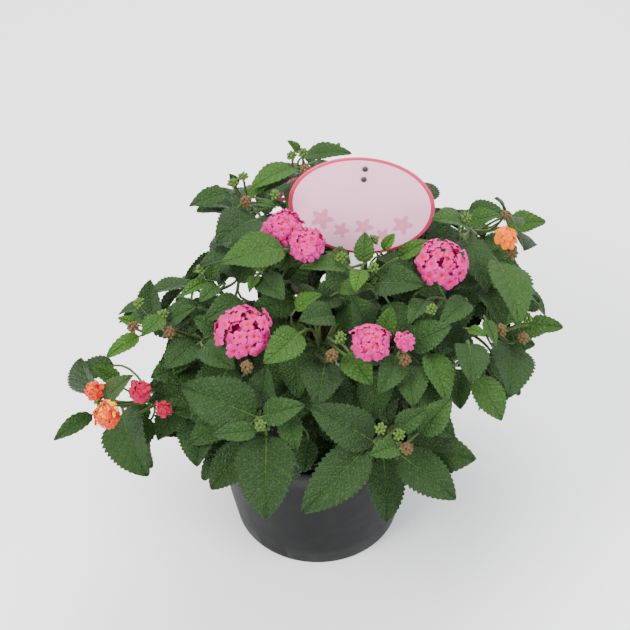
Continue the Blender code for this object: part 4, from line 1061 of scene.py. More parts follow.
    def place_leaf(self, leaf: Leaf) -> None:
        """Set a leaf of the front view on its shoot, moved until it is clear, or leave it out.

        Args:
            leaf: The measured leaf.
        """
        for scale in (1.0, 0.86, 0.72):
            for shift in (0, 5, -6, 10, -12, 16, -18, 22, -26, 30, -36, -46):
                for roll in (0.0, 14.0, -14.0):
                    placed = self.front_leaf(leaf, shift * MM, roll, scale)
                    if self.try_leaf(placed):
                        self.used.append(placed.root)
                        return

    def front_leaf(self, leaf: Leaf, shift: float, roll: float, scale: float) -> Placed:
        """A leaf in space from its place in the front view.

        Args:
            leaf: The measured leaf.
            shift: Move towards the viewer, metres.
            roll: Turn about its midrib, degrees.
            scale: Scale.

        Returns:
            The placed leaf.
        """
        tip = on_mound(leaf.tip, leaf.depth, shift)
        flat = (Vector(leaf.tip) - Vector(leaf.base)).length * MM
        real = max(flat, leaf.width * MM * LENGTH_PER_WIDTH)
        back = math.sqrt(max(0.0, real ** 2 - flat ** 2))
        deep = nearness(on_mound(leaf.base, 0.62, shift))
        soft = nearness(on_mound(leaf.base, leaf.depth - 0.07, shift))
        near = max(deep, min(soft, nearness(tip) - back))
        base = in_view(leaf.base, near)
        tip = base.lerp(tip, scale)
        facing = outward(base) * 0.45 + TOWARD * 0.4 + Vector((0.0, 0.0, 0.35))
        return self.shape_leaf(base, tip, facing, leaf.width * MM * scale, roll)

    def shape_leaf(self, base: Vector, tip: Vector, facing: Vector, width: float,
                   roll: float) -> Placed:
        """A placed leaf with its stalk's start at the nearest point of the shoot.

        Args:
            base: The blade's base.
            tip: The blade's tip.
            facing: The way the upper face looks.
            width: Full width, metres.
            roll: Turn about its midrib, degrees.

        Returns:
            The placed leaf.
        """
        span = (tip - base).normalized()
        facing = Matrix.Rotation(math.radians(roll), 3, span) @ facing
        teeth = 4 if width > 29 * MM else (3 if width > 11 * MM else 2)
        root = self.nearest(base, span)
        return Placed(root, base, tip, facing.normalized(), width, teeth)

    def try_leaf(self, placed: Placed) -> bool:
        """Keep a leaf if it is clear of the rest.

        Args:
            placed: The leaf in space.

        Returns:
            Whether the leaf was kept.
        """
        garden = self.garden
        whole = leaf_mesh(placed)
        free = sound_skin(whole)
        free = free and not garden.hits(self.node, leaf_mesh(placed, stalk=False), own=True)
        free = free and not garden.hits(self.node, whole)
        low, high = corners(whole)
        if garden.limits and free:
            floor, ceiling = garden.limits
            free = all(floor[i] + MM < low[i] and high[i] < ceiling[i] - MM for i in range(3))
            free = free and not garden.covers(placed)
        if free and low.z > SOIL_TOP + SOIL_CLEAR:
            garden.add(self.node, whole)
            garden.leaves[self.node].append(placed)
            return True
        return False

    def grow_round(self, hub: Vector, count: int, width: float, rng: random.Random) -> None:
        """Leaves round a point of the stem in pairs, each a right angle from the last.

        Args:
            hub: Where the outermost pair stands.
            count: Number of leaves.
            width: Width of a leaf, mm.
            rng: Seeded random source.
        """
        stem = outward(hub)
        side = stem.orthogonal().normalized()
        for k in range(count):
            pair, half = divmod(k, 2)
            start = hub - stem * 24.0 * MM * pair
            angle = math.pi * half + 0.5 * math.pi * pair + rng.uniform(-0.3, 0.3)
            way = Matrix.Rotation(angle, 3, stem) @ side
            way = (way + stem * 0.45 + Vector((0.0, 0.0, 0.15))).normalized()
            size = width * rng.uniform(0.85, 1.1) * MM
            for scale, lift, roll in ((1.0, 0, 0), (1.0, 8, 12), (1.0, -8, -12), (0.85, 0, 20),
                                      (0.85, 12, -20), (0.7, 6, 0), (0.7, -12, 25)):
                base = start + way * 15.0 * MM + stem * lift * MM
                tip = base + way * size * scale * LENGTH_PER_WIDTH
                facing = stem * 0.5 + Vector((0.0, 0.0, 1.0))
                placed = self.shape_leaf(base, tip, facing, size * scale, roll)
                placed.teeth = min(3, placed.teeth)
                if placed.shows_inside() and self.try_leaf(placed):
                    self.used.append(placed.root)
                    break


def foot_places(targets: list, stake: Vector) -> list:
    """Where each stem leaves the soil: fanned out under its hub, and clear of the label's stake.

    Args:
        targets: Hub of each stem.
        stake: Foot of the label's stake.

    Returns:
        Foot of each stem, in the same order.
    """
    feet = []
    for target in targets:
        angle = math.atan2(target.y, target.x)
        far = math.hypot(target.x, target.y)
        feet.append([angle, (9.0 + 330.0 * far) * MM])
    spots = [Vector((r * math.cos(a), r * math.sin(a), 0.0)) for a, r in feet]
    for _ in range(60):
        for i, spot in enumerate(spots):
            for j, other in enumerate(spots):
                gap = (spot - other).length
                if i != j and gap < STEM_SPACING:
                    push = (spot - other).normalized() if gap > 0.0 else Vector((1.0, 0.0, 0.0))
                    spot += push * (STEM_SPACING - gap) * 0.5
            away = spot - stake
            if away.length < STAKE_SPACING:
                spot += away.normalized() * (STAKE_SPACING - away.length)
    return spots


def hub_of(shoot: Shoot) -> Vector:
    """Where a shoot's main stem ends: behind the middle of its leaves.

    Args:
        shoot: The measured shoot.

    Returns:
        The point in space.
    """
    spots = [leaf.base for leaf in shoot.leaves]
    middle = (sum(s[0] for s in spots) / len(spots), sum(s[1] for s in spots) / len(spots))
    return on_mound(middle, HUB_DEPTH)


def mound_direction(azimuth: float, height: float, scale: float) -> Vector:
    """The mound's point at an azimuth and a height (degrees), scaled about its centre.

    Args:
        azimuth: Degrees round Z from +X.
        height: Degrees above the horizon.
        scale: Scale.

    Returns:
        The point in space.
    """
    a = math.radians(azimuth)
    e = math.radians(height)
    away = Vector((MOUND_RADIUS * math.cos(e) * math.cos(a),
                   MOUND_RADIUS * math.cos(e) * math.sin(a), MOUND_RISE * math.sin(e)))
    return MOUND_CENTRE + away * scale


def make_label(garden: Garden) -> tuple:
    """The oval plate with its stake in one solid, and two rivets.

    Args:
        garden: The plant so far.

    Returns:
        The plate's matrix and the length of its stake.
    """
    centre = in_view(LABEL_CENTRE, LABEL_NEAR)
    face = Vector((0.0, -math.cos(LABEL_LEAN), math.sin(LABEL_LEAN)))
    up = Vector((0.0, math.sin(LABEL_LEAN), math.cos(LABEL_LEAN)))
    up = Matrix.Rotation(LABEL_TILT, 3, face) @ up
    if up.x < 0.0:
        up = Matrix.Rotation(-2.0 * LABEL_TILT, 3, face) @ up
    side = up.cross(face).normalized()
    place = Matrix((side, up, face)).transposed().to_4x4()
    place.translation = centre
    plate = bmesh.new()
    ring = []
    for k in range(LABEL_SIDES):
        angle = math.tau * k / LABEL_SIDES
        ring.append(plate.verts.new((0.5 * LABEL_WIDTH * math.cos(angle),
                                     0.5 * LABEL_HEIGHT * math.sin(angle), -LABEL_THICK)))
    disc = plate.faces.new(ring)
    raised = bmesh.ops.extrude_face_region(plate, geom=[disc])["geom"]
    front = [item for item in raised if isinstance(item, bmesh.types.BMVert)]
    bmesh.ops.translate(plate, vec=(0.0, 0.0, LABEL_THICK), verts=front)
    bmesh.ops.recalc_face_normals(plate, faces=plate.faces)
    plate.transform(place)
    foot_length = (centre.z - STAKE_FOOT) / up.z
    stake = box((-0.5 * STAKE_WIDTH, -foot_length, -LABEL_THICK),
                (0.5 * STAKE_WIDTH, -0.3 * LABEL_HEIGHT, -0.2 * LABEL_THICK))
    stake.transform(place)
    garden.add("label", plate)
    garden.add("label", stake)
    for k, lift in enumerate(RIVET_LIFTS):
        rivet = bmesh.new()
        bmesh.ops.create_cone(rivet, cap_ends=True, segments=10, radius1=1.9 * MM,
                              radius2=1.5 * MM, depth=1.0 * MM)
        bmesh.ops.translate(rivet, vec=(-1.0 * MM, lift * MM, 0.5 * MM + GAP), verts=rivet.verts)
        rivet.transform(place)
        garden.add(f"rivet_{k + 1}", rivet)
    return place, foot_length


def box(low: tuple, high: tuple) -> BMesh:
    """A box between two corners.

    Args:
        low: Lower corner, metres.
        high: Upper corner, metres.

    Returns:
        The closed box.
    """
    bm = bmesh.new()
    bmesh.ops.create_cube(bm, size=1.0)
    size = Vector(high) - Vector(low)
    bmesh.ops.scale(bm, vec=size, verts=bm.verts)
    bmesh.ops.translate(bm, vec=(Vector(low) + Vector(high)) * 0.5, verts=bm.verts)
    return bm


def turned(profile: list, sides: int) -> BMesh:
    """A solid turned round Z from a profile whose first and last points lie on the axis.

    Args:
        profile: Points (radius, height).
        sides: Number of sides.

    Returns:
        The closed solid.
    """
    bm = bmesh.new()
    rings = [[bm.verts.new(point) for point in circle(radius, height, sides)]
             for radius, height in profile[1:-1]]
    first = bm.verts.new((0.0, 0.0, profile[0][1]))
    last = bm.verts.new((0.0, 0.0, profile[-1][1]))
    for k in range(sides):
        j = (k + 1) % sides
        bm.faces.new((first, rings[0][j], rings[0][k]))
        bm.faces.new((last, rings[-1][k], rings[-1][j]))
        for low, high in zip(rings, rings[1:]):
            bm.faces.new((low[k], low[j], high[j], high[k]))
    bmesh.ops.recalc_face_normals(bm, faces=bm.faces)
    return bm


def wall_radius(height: float) -> float:
    """The pot's outer radius at a height."""
    return BASE_RADIUS + (RIM_RADIUS - BASE_RADIUS) * height / POT_HEIGHT


def cut(target: bpy.types.Object, cutters: list) -> Mesh:
    """Cut solids out of an object.

    Args:
        target: The object to cut.
        cutters: Solids to take away.

    Returns:
        The cut mesh.
    """
    store = bpy.data.collections.new(target.name + "_cutters")
    for k, bm in enumerate(cutters):
        bmesh.ops.recalc_face_normals(bm, faces=bm.faces)
        store.objects.link(bpy.data.objects.new(f"cutter_{k}", mesh_of(bm, f"cutter_{k}")))
    slice_out = target.modifiers.new("cut", "BOOLEAN")
    slice_out.operation = "DIFFERENCE"
    slice_out.operand_type = "COLLECTION"
    slice_out.collection = store
    slice_out.solver = "EXACT"
    graph = bpy.context.evaluated_depsgraph_get()
    graph.update()
    result = bpy.data.meshes.new_from_object(target.evaluated_get(graph))
    target.modifiers.remove(slice_out)
    for tool in list(store.objects):
        bpy.data.objects.remove(tool)
    bpy.data.collections.remove(store)
    return result


def grow() -> tuple:
    """Lay out the label, stems, heads and leaves in order, each clear of what came before.

    Returns:
        The garden, the skeletons, the middles, the label's matrix and its stake's length.
    """
    garden = Garden()
    label_place, foot_length = make_label(garden)
    hubs = [hub_of(shoot) for shoot in SHOOTS]
    hubs += [mound_direction(az, el, BACK_DEPTH) for _, az, el in BACK_SHOOTS]
    drop = (SOIL_TOP - label_place.translation.z) / label_place[2][1]
    stake = label_place @ Vector((0.0, drop, 0.0))
    feet = foot_places(hubs, Vector((stake.x, stake.y, 0.0)))
    names = [shoot.name for shoot in SHOOTS] + [entry[0] for entry in BACK_SHOOTS]
    skeletons = {}
    for name, hub, foot in zip(names, hubs, feet):
        skeletons[name] = Skeleton(garden, name, foot, hub)
    for shoot in SHOOTS:
        for leaf in shoot.leaves:
            middle = on_mound(leaf.base, leaf.depth - 0.18)
            skeletons[shoot.name].reach(middle, TWIG_REACH)
    grow_heads(garden, skeletons)
    grow_clusters(skeletons)
    for shoot in SHOOTS:
        for leaf in shoot.leaves:
            skeletons[shoot.name].place_leaf(leaf)
    rng = random.Random(11)
    for name, azimuth, height in BACK_SHOOTS:
        hub = mound_direction(azimuth, height, BACK_DEPTH)
        skeletons[name].grow_round(hub, BACK_LEAVES, BACK_LEAF_WIDTH, rng)
    for shoot, hub in zip(SHOOTS, hubs):
        skeleton = skeletons[shoot.name]
        low = skeleton.along(hub, INNER_SHARE)
        skeleton.grow_round(low, INNER_LEAVES, INNER_LEAF_WIDTH, rng)
    middles = dict(zip(names, hubs))
    return garden, skeletons, middles, label_place, foot_length


def grow_heads(garden: Garden, skeletons: dict) -> None:
    """Every flower head with the stalk that carries it.

    Args:
        garden: The plant so far.
        skeletons: Skeletons by node name.
    """
    jobs = [(shoot.name, head, None) for shoot in SHOOTS for head in shoot.heads]
    for head_name, name, azimuth, height in BACK_HEADS:
        spot = mound_direction(azimuth, height, 0.94)
        jobs.append((name, Head(head_name, (0, 0), BACK_HEAD_SIZE, BACK_FLORETS, "pink"), spot))
    for shoot_name, head, spot in jobs:
        size = head.size * MM
        for lift in (0, 4, 8, -4, 12, 16, 20, 26):
            if spot is None:
                centre = on_mound(head.centre, head.depth, lift * MM)
                direction = head_frame(centre)
            else:
                direction = outward(spot)
                centre = spot + direction * lift * MM
            if garden.add_head(HeadSpot(head.name, centre, direction, size, head.florets,
                                        head.colour)):
                end = centre - direction * (HEAD_FLOOR * size + 2.0 * GAP)
                skeletons[shoot_name].stalk(end, direction)
                break


def grow_clusters(skeletons: dict) -> None:
    """Green bud clusters and spent heads, each on its own stalk.

    Args:
        skeletons: Skeletons by node name.
    """
    for shoot in SHOOTS:
        for spots, size in ((shoot.buds, BUD_SIZE), (shoot.spent, SPENT_SIZE)):
            for spot in spots:
                for lift in (0, 4, -4, 8, -8):
                    centre = on_mound(spot, 1.0, lift * MM)
                    direction = head_frame(centre)
                    if skeletons[shoot.name].stalk(centre, direction, size):
                        break


class Flower(Enum):
    """The kinds of flower head, by their colour."""

    PINK = "pink"
    CORAL = "coral"
    CRIMSON = "crimson"
    ORANGE = "orange"


@dataclass(frozen=True)
class Petals:
    """The colours of one kind of floret, from its throat to its edge, in linear values.

    A floret's own place between body and other is drawn at random for each floret.
    """

    eye: tuple
    body: tuple
    other: tuple
    edge: tuple


PETALS = {
    Flower.PINK: Petals(
        eye=(0.60, 0.006, 0.012), body=(0.44, 0.001, 0.085),
        other=(0.50, 0.004, 0.16), edge=(0.60, 0.030, 0.28)),
    Flower.CORAL: Petals(
        eye=(0.76, 0.16, 0.003), body=(0.52, 0.010, 0.006),
        other=(0.95, 0.52, 0.001), edge=(0.70, 0.070, 0.016)),
    Flower.CRIMSON: Petals(
        eye=(0.42, 0.02, 0.004), body=(0.26, 0.0, 0.014),
        other=(0.36, 0.001, 0.05), edge=(0.35, 0.002, 0.04)),
    Flower.ORANGE: Petals(
        eye=(0.55, 0.015, 0.003), body=(0.76, 0.10, 0.001),
        other=(0.86, 0.30, 0.003), edge=(0.84, 0.16, 0.004)),
}


class Value:
    """An output in a material, with the arithmetic that its formulas are written in."""

    def __init__(self, shader: "Shader", socket: Socket) -> None:
        """Keep the output and its material."""
        self.shader = shader
        self.socket = socket

    def math(self, operation: str, other: object = None) -> "Value":
        """A Math node on this value and another value or number."""
        return self.shader.math(operation, self, other)

    def __add__(self, other: object) -> "Value":
        """The sum."""
        return self.math("ADD", other)

    def __sub__(self, other: object) -> "Value":
        """The difference."""
        return self.math("SUBTRACT", other)

    def __rsub__(self, other: float) -> "Value":
        """The difference from a number."""
        return self.shader.math("SUBTRACT", other, self)

    def __mul__(self, other: object) -> "Value":
        """The product."""
        return self.math("MULTIPLY", other)

    def __pow__(self, other: float) -> "Value":
        """The power."""
        return self.math("POWER", other)

    def __abs__(self) -> "Value":
        """The value without its sign."""
        return self.math("ABSOLUTE")


class Shader:
    """A small helper that builds a Principled material from nodes."""

    def __init__(self, name: str, **constants: object) -> None:
        """Start a material whose surface is one principled shader.

        Args:
            name: Name of the material.
            constants: Constant of each surface socket, by its name with underscores.
        """
        self.material = bpy.data.materials.new(name)
        self.material.use_nodes = True
        self.tree = self.material.node_tree
        self.surface = self.tree.nodes["Principled BSDF"]
        for key, constant in constants.items():
            self.plug(constant, self.surface.inputs[key.replace("_", " ")])

    def node(self, kind: str, **settings: object) -> bpy.types.Node:
        """Add a node and set its properties.

        Args:
            kind: Kind of node.
            settings: Properties of the node by name.

        Returns:
            The new node.
        """
        made = self.tree.nodes.new(kind)
        for key, setting in settings.items():
            setattr(made, key, setting)
        return made

    def plug(self, item: object, socket: Socket) -> None:
        """Feed an input with a value, or set it to a number or a colour.

        Args:
            item: Value, number or colour; none leaves the input as it is.
            socket: Input socket.
        """
        if isinstance(item, Value):
            self.tree.links.new(item.socket, socket)
        elif isinstance(item, tuple):
            socket.default_value = (*item, 1.0)
        elif item is not None:
            socket.default_value = item

    def math(self, operation: str, first: object, second: object = None) -> Value:
        """A Math node on values or numbers.

        Args:
            operation: Name of the operation.
            first: First value or number.
            second: Second value or number.

        Returns:
            The result.
        """
        made = self.node("ShaderNodeMath", operation=operation)
        self.plug(first, made.inputs[0])
        self.plug(second, made.inputs[1])
        return Value(self, made.outputs[0])

    def ramp(self, factor: Value, *stops: tuple) -> Value:
        """A colour ramp.

        Args:
            factor: Value from 0 to 1.
            stops: Pairs of place and colour.

        Returns:
            The colour.
        """
        made = self.node("ShaderNodeValToRGB")
        elements = made.color_ramp.elements
        while len(elements) < len(stops):
            elements.new(0.5)
        for element, (place, colour) in zip(elements, stops):
            element.position = place
            element.color = (*colour, 1.0)
        self.plug(factor, made.inputs["Fac"])
        return Value(self, made.outputs["Color"])

    def layers(self, colour: object, *coats: tuple) -> Value:
        """Lay colours over one another.

        Args:
            colour: The lowest colour.
            coats: Pairs of cover, 0 to 1, and colour, from below upwards.

        Returns:
            The mixed colour.
        """
        for cover, coat in coats:
            made = self.node("ShaderNodeMix", data_type="RGBA")
            for item, socket in ((cover, "Factor"), (colour, 6), (coat, 7)):
                self.plug(item, made.inputs[socket])
            colour = Value(self, made.outputs[2])
        return colour

    def pattern(self, kind: str, output: str, scale: float, **settings: object) -> Value:
        """A texture on object coordinates.

        Args:
            kind: Kind of texture node.
            output: Name of its output.
            scale: Cells for each metre.
            settings: Properties of the node by name.

        Returns:
            The texture.
        """
        made = self.node(kind, **settings)
        made.inputs["Scale"].default_value = scale
        place = self.node("ShaderNodeTexCoord").outputs["Object"]
        self.tree.links.new(place, made.inputs["Vector"])
        return Value(self, made.outputs[output])

    def noise(self, scale: float, detail: float = 3.0) -> Value:
        """Noise on object coordinates.

        Args:
            scale: Cells for each metre.
            detail: Octaves of the noise.

        Returns:
            The noise, 0 to 1.
        """
        made = self.pattern("ShaderNodeTexNoise", "Fac", scale)
        made.socket.node.inputs["Detail"].default_value = detail
        return made

    def attribute(self, name: str) -> list:
        """The three parts of a vector attribute of the mesh.

        Args:
            name: Name of the attribute.

        Returns:
            The three values.
        """
        source = self.node("ShaderNodeAttribute", attribute_name=name)
        split = self.node("ShaderNodeSeparateXYZ")
        self.tree.links.new(source.outputs["Vector"], split.inputs[0])
        return [Value(self, output) for output in split.outputs]

    def bump(self, height: Value, depth: float, strength: float) -> None:
        """Relief on the surface.

        Args:
            height: Height, 0 to 1.
            depth: Depth of the relief, metres.
            strength: Share of the relief that is used.
        """
        made = self.node("ShaderNodeBump")
        for item, socket in ((strength, "Strength"), (depth, "Distance"), (height, "Height")):
            self.plug(item, made.inputs[socket])
        self.tree.links.new(made.outputs["Normal"], self.surface.inputs["Normal"])

    def finish(self, colour: Value) -> Material:
        """Set the colour and return the material."""
        self.plug(colour, self.surface.inputs["Base Color"])
        return self.material


def speckled(name: str, roughness: float, scale: float, *stops: tuple) -> Material:
    """A material whose colour only varies a little.

    Args:
        name: Name of the material.
        roughness: Roughness.
        scale: Specks for each metre.
        stops: Pairs of place and colour.

    Returns:
        The material.
    """
    shader = Shader(name, Roughness=roughness)
    return shader.finish(shader.ramp(shader.noise(scale, 2.0), *stops))


@dataclass(frozen=True)
class Finishes:
    """Every material of the plant, made once by its own method."""

    leaf_dark: tuple = (0.008, 0.024, 0.004)
    leaf_mid: tuple = (0.021, 0.058, 0.009)
    leaf_young: tuple = (0.062, 0.170, 0.006)
    leaf_under: tuple = (0.055, 0.100, 0.030)
    vein: tuple = (0.045, 0.100, 0.018)
    stem_green: tuple = (0.045, 0.085, 0.014)
    stem_wood: tuple = (0.060, 0.038, 0.018)
    bud_green: tuple = (0.085, 0.175, 0.016)
    spent_brown: tuple = (0.13, 0.045, 0.016)
    pot_colour: tuple = (0.0028, 0.0033, 0.0037)
    plate: tuple = (0.98, 0.46, 0.64)
    plate_rim: tuple = (0.58, 0.008, 0.09)
    print_pink: tuple = (0.72, 0.16, 0.36)
    print_yellow: tuple = (0.85, 0.50, 0.05)
    blossoms: tuple = (((-26.0, -12.0), 8.0, 5), ((-12.0, -19.0), 6.0, 5), ((3.0, -15.0), 7.0, 5),
                       ((17.0, -20.0), 5.5, 5), ((29.0, -11.0), 7.5, 5))

    def leaf(self) -> Material:
        """Leaves: wrinkled between sunken veins with painted shade in the furrows, paler below,
        yellower when young.

        Returns:
            The material.
        """
        shader = Shader("leaf_green", Roughness=0.52, Sheen_Weight=0.03, Sheen_Roughness=0.45,
                        Specular_IOR_Level=0.20, Sheen_Tint=(0.85, 0.95, 1.0))
        across, along, tone = shader.attribute("leaf_place")
        side = abs(across)
        phase = along * VEINS - side * VEIN_SWEEP
        ridge = 0.5 - abs(phase.math("FRACT") - 0.5)
        lateral = (1.0 - ridge * 9.0).math("MAXIMUM", 0.0)
        middle = (1.0 - side * 22.0).math("MAXIMUM", 0.0)
        lines = (lateral * 0.6).math("MAXIMUM", middle)
        cells = shader.pattern("ShaderNodeTexVoronoi", "Distance", 420.0, feature="DISTANCE_TO_EDGE")
        net = (cells * 3.2).math("MINIMUM", 1.0)
        # Painted shade: darkest along the grooves between the cells of the fine net
        furrow_shade = 1.0 - net
        under = shader.attribute("leaf_under")[0]
        age = shader.ramp(tone, (0.0, self.leaf_dark), (0.5, self.leaf_mid), (1.0, self.leaf_young))
        # The third coat lays leaf_dark into the furrows of the net as painted shade
        colour = shader.layers(age, (shader.noise(60.0, 4.0) * 0.35, self.leaf_mid),
                               (furrow_shade * furrow_shade * 0.30, self.leaf_dark),
                               (lines * 0.62, self.vein), (under * 0.7, self.leaf_under))
        height = net * 0.55 + lines * -0.8 + shader.noise(500.0) * 0.6
        shader.bump(height, 0.0011, 0.9)
        return shader.finish(colour)

    def stem(self) -> Material:
        """Stems, stalks and buds: green and finely hairy, woody near the soil.

        Returns:
            The material.
        """
        shader = Shader("stem_green", Roughness=0.6, Sheen_Weight=0.08, Sheen_Roughness=0.5,
                        Specular_IOR_Level=0.2)
        wood, bud, spent = shader.attribute("stem_place")
        colour = shader.layers(self.stem_green, (wood * 0.9, self.stem_wood),
                               (bud, self.bud_green), (spent, self.spent_brown),
                               (shader.noise(240.0, 4.0) * 0.55, (0.03, 0.035, 0.015)))
        shader.bump(shader.noise(900.0), 0.0002, 0.6)
        return shader.finish(colour)

    def petal(self, kind: Flower) -> Material:
        """Petals: an eye at the throat, a soft body and a paler crinkled edge.

        Args:
            kind: Kind of flower.

        Returns:
            The material.
        """
        tones = PETALS[kind]
        shader = Shader(f"petal_{kind.value}", Roughness=0.6, Sheen_Weight=0.05,
                        Sheen_Roughness=0.4, Subsurface_Weight=0.10, Subsurface_Scale=0.002,
                        Specular_IOR_Level=0.15)
        radial, mix, age = shader.attribute("petal_place")
        eye = (1.0 - radial * 3.1).math("MAXIMUM", 0.0)
        colour = shader.layers(tones.body, (mix, tones.other), (radial ** 4.0 * 0.7, tones.edge),
                               (eye, tones.eye), (age * 0.8, tones.eye),
                               (shader.noise(420.0) * 0.22, tones.edge))
        shader.bump(shader.noise(1500.0, 2.0), 0.00012, 0.5)
        return shader.finish(colour)

    def pot(self) -> Material:
        """Anthracite moulded plastic with fine grain and faint dusty scuffs.

        Returns:
            The material.
        """
        shader = Shader("pot_plastic", Specular_IOR_Level=0.10)
        dust = shader.noise(22.0, 6.0) ** 3.0 * 0.5
        colour = shader.layers(self.pot_colour, (dust, (0.009, 0.009, 0.0085)))
        shader.plug(shader.noise(90.0) * 0.16 + 0.40, shader.surface.inputs["Roughness"])
        shader.bump(shader.noise(1600.0, 2.0), 0.00008, 0.5)
        return shader.finish(colour)

    def soil(self) -> Material:
        """Dark potting soil with paler fibres.

        Returns:
            The material.
        """
        shader = Shader("potting_soil", Roughness=0.95)
        grit = shader.noise(420.0, 6.0)
        shader.bump(grit, 0.0009, 1.0)
        return shader.finish(shader.ramp(grit, (0.3, (0.016, 0.010, 0.007)),
                                         (0.55, (0.050, 0.031, 0.019)),
                                         (0.75, (0.12, 0.080, 0.050))))

    def label_plate(self) -> Material:
        """Pale pink printed plastic with a crimson rim line and a generic sprig of blossoms.

        Returns:
            The material.
        """
        shader = Shader("label_plate", Roughness=0.36, Coat_Weight=0.25, Coat_Roughness=0.2)
        across, up, back = shader.attribute("label_place")
        wide = across * (2.0 * MM / LABEL_WIDTH)
        high = up * (2.0 * MM / LABEL_HEIGHT)
        radial = (wide * wide + high * high).math("SQRT")
        coats = [(shader.noise(26.0) * 0.5, (1.0, 0.64, 0.76))]
        for middle, size, petals in self.blossoms:
            x = across - middle[0]
            y = up - middle[1]
            turn = (y.math("ARCTAN2", x) * float(petals)).math("COSINE")
            inside = (turn * 0.24 + 0.76) * size - (x * x + y * y).math("SQRT")
            coats.append((inside.math("GREATER_THAN", 0.0) * 0.72, self.print_pink))
            coats.append((inside.math("GREATER_THAN", 0.72 * size), self.print_yellow))
        coats.append((radial.math("GREATER_THAN", 0.94), self.plate_rim))
        coats.append((back, (0.86, 0.84, 0.82)))
        colour = shader.layers(self.plate, *coats)
        shader.bump(shader.noise(500.0, 2.0), 0.00006, 0.3)
        return shader.finish(colour)


@dataclass
class Sheet:
    """Vertices, faces and vertex attributes of a mesh that grows piece by piece."""

    points: list = field(default_factory=list)
    faces: list = field(default_factory=list)
    marks: list = field(default_factory=list)
    under: list = field(default_factory=list)

    def put(self, point: Vector, mark: tuple, under: float = 0.0) -> int:
        """Add a vertex with its attribute.

        Args:
            point: Point in space.
            mark: Attribute of three numbers.
            under: Second attribute: 1 on a lower face.

        Returns:
            Index of the vertex.
        """
        self.points.append(point)
        self.marks.append(mark)
        self.under.append(under)
        return len(self.points) - 1

    def take(self, bm: BMesh, mark: tuple) -> None:
        """Add a whole bmesh with one attribute, and free it.

        Args:
            bm: The bmesh.
            mark: Attribute of three numbers.
        """
        start = len(self.points)
        bm.verts.index_update()
        for vert in bm.verts:
            self.put(vert.co.copy(), mark)
        for face in bm.faces:
            self.faces.append(tuple(start + vert.index for vert in face.verts))
        bm.free()

    def mesh(self, name: str, attribute: str, under_name: str | None = None) -> Mesh:
        """Make a smooth mesh with the attribute on its vertices.

        Args:
            name: Name.
            attribute: Name of the attribute.
            under_name: Name of the second attribute, none for no such attribute.

        Returns:
            The mesh.
        """
        made = bpy.data.meshes.new(name)
        made.from_pydata([tuple(p) for p in self.points], [], self.faces)
        layer = made.attributes.new(attribute, "FLOAT_VECTOR", "POINT")
        layer.data.foreach_set("vector", [x for mark in self.marks for x in mark])
        if under_name:
            side = made.attributes.new(under_name, "FLOAT_VECTOR", "POINT")
            side.data.foreach_set("vector", [x for u in self.under for x in (u, 0.0, 0.0)])
        made.shade_smooth()
        made.update()
        return made


def keep_in_box(mesh: Mesh) -> None:
    """Draw in the few points of a mesh that stand past the box of the solids.

    Args:
        mesh: The mesh.
    """
    low, high = CAD_BOX
    for vert in mesh.vertices:
        vert.co = [min(max(vert.co[i], low[i]), high[i]) for i in range(3)]


def stand(name: str, data: object) -> bpy.types.Object:
    """A new object of the scene."""
    made = bpy.data.objects.new(name, data)
    bpy.context.scene.collection.objects.link(made)
    return made


def new_piece(name: str, mesh: Mesh, finish: Material, slot: str,
              replaced: tuple = ()) -> bpy.types.Object:
    """Link a finished mesh as a piece that rides with the pot.

    Args:
        name: Name.
        mesh: The mesh.
        finish: Material.
        slot: Material slot; not used.
        replaced: Nodes whose solids it takes the place of.

    Returns:
        The piece.
    """
    keep_in_box(mesh)
    mesh.materials.clear()
    mesh.materials.append(finish)
    piece = stand(name, mesh)
    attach(piece, "root")
    if replaced:
        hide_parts(*replaced)
    LOG.info("%s: %d faces", name, len(mesh.polygons))
    return piece


def smooth_path(path: list, steps: int) -> list:
    """Points of a Catmull-Rom curve through a path.

    Args:
        path: Points of the path.
        steps: Points added for each part of the path.

    Returns:
        The points.
    """
    ends = [path[0] * 2.0 - path[1]] + list(path) + [path[-1] * 2.0 - path[-2]]
    out = []
    for i in range(1, len(ends) - 2):
        a, b, c, d = ends[i - 1:i + 3]
        for k in range(steps):
            t = k / steps
            out.append(0.5 * ((2.0 * b) + (c - a) * t + (2.0 * a - 5.0 * b + 4.0 * c - d) * t * t
                              + (3.0 * b - a - 3.0 * c + d) * t ** 3))
    out.append(ends[-2])
    return out


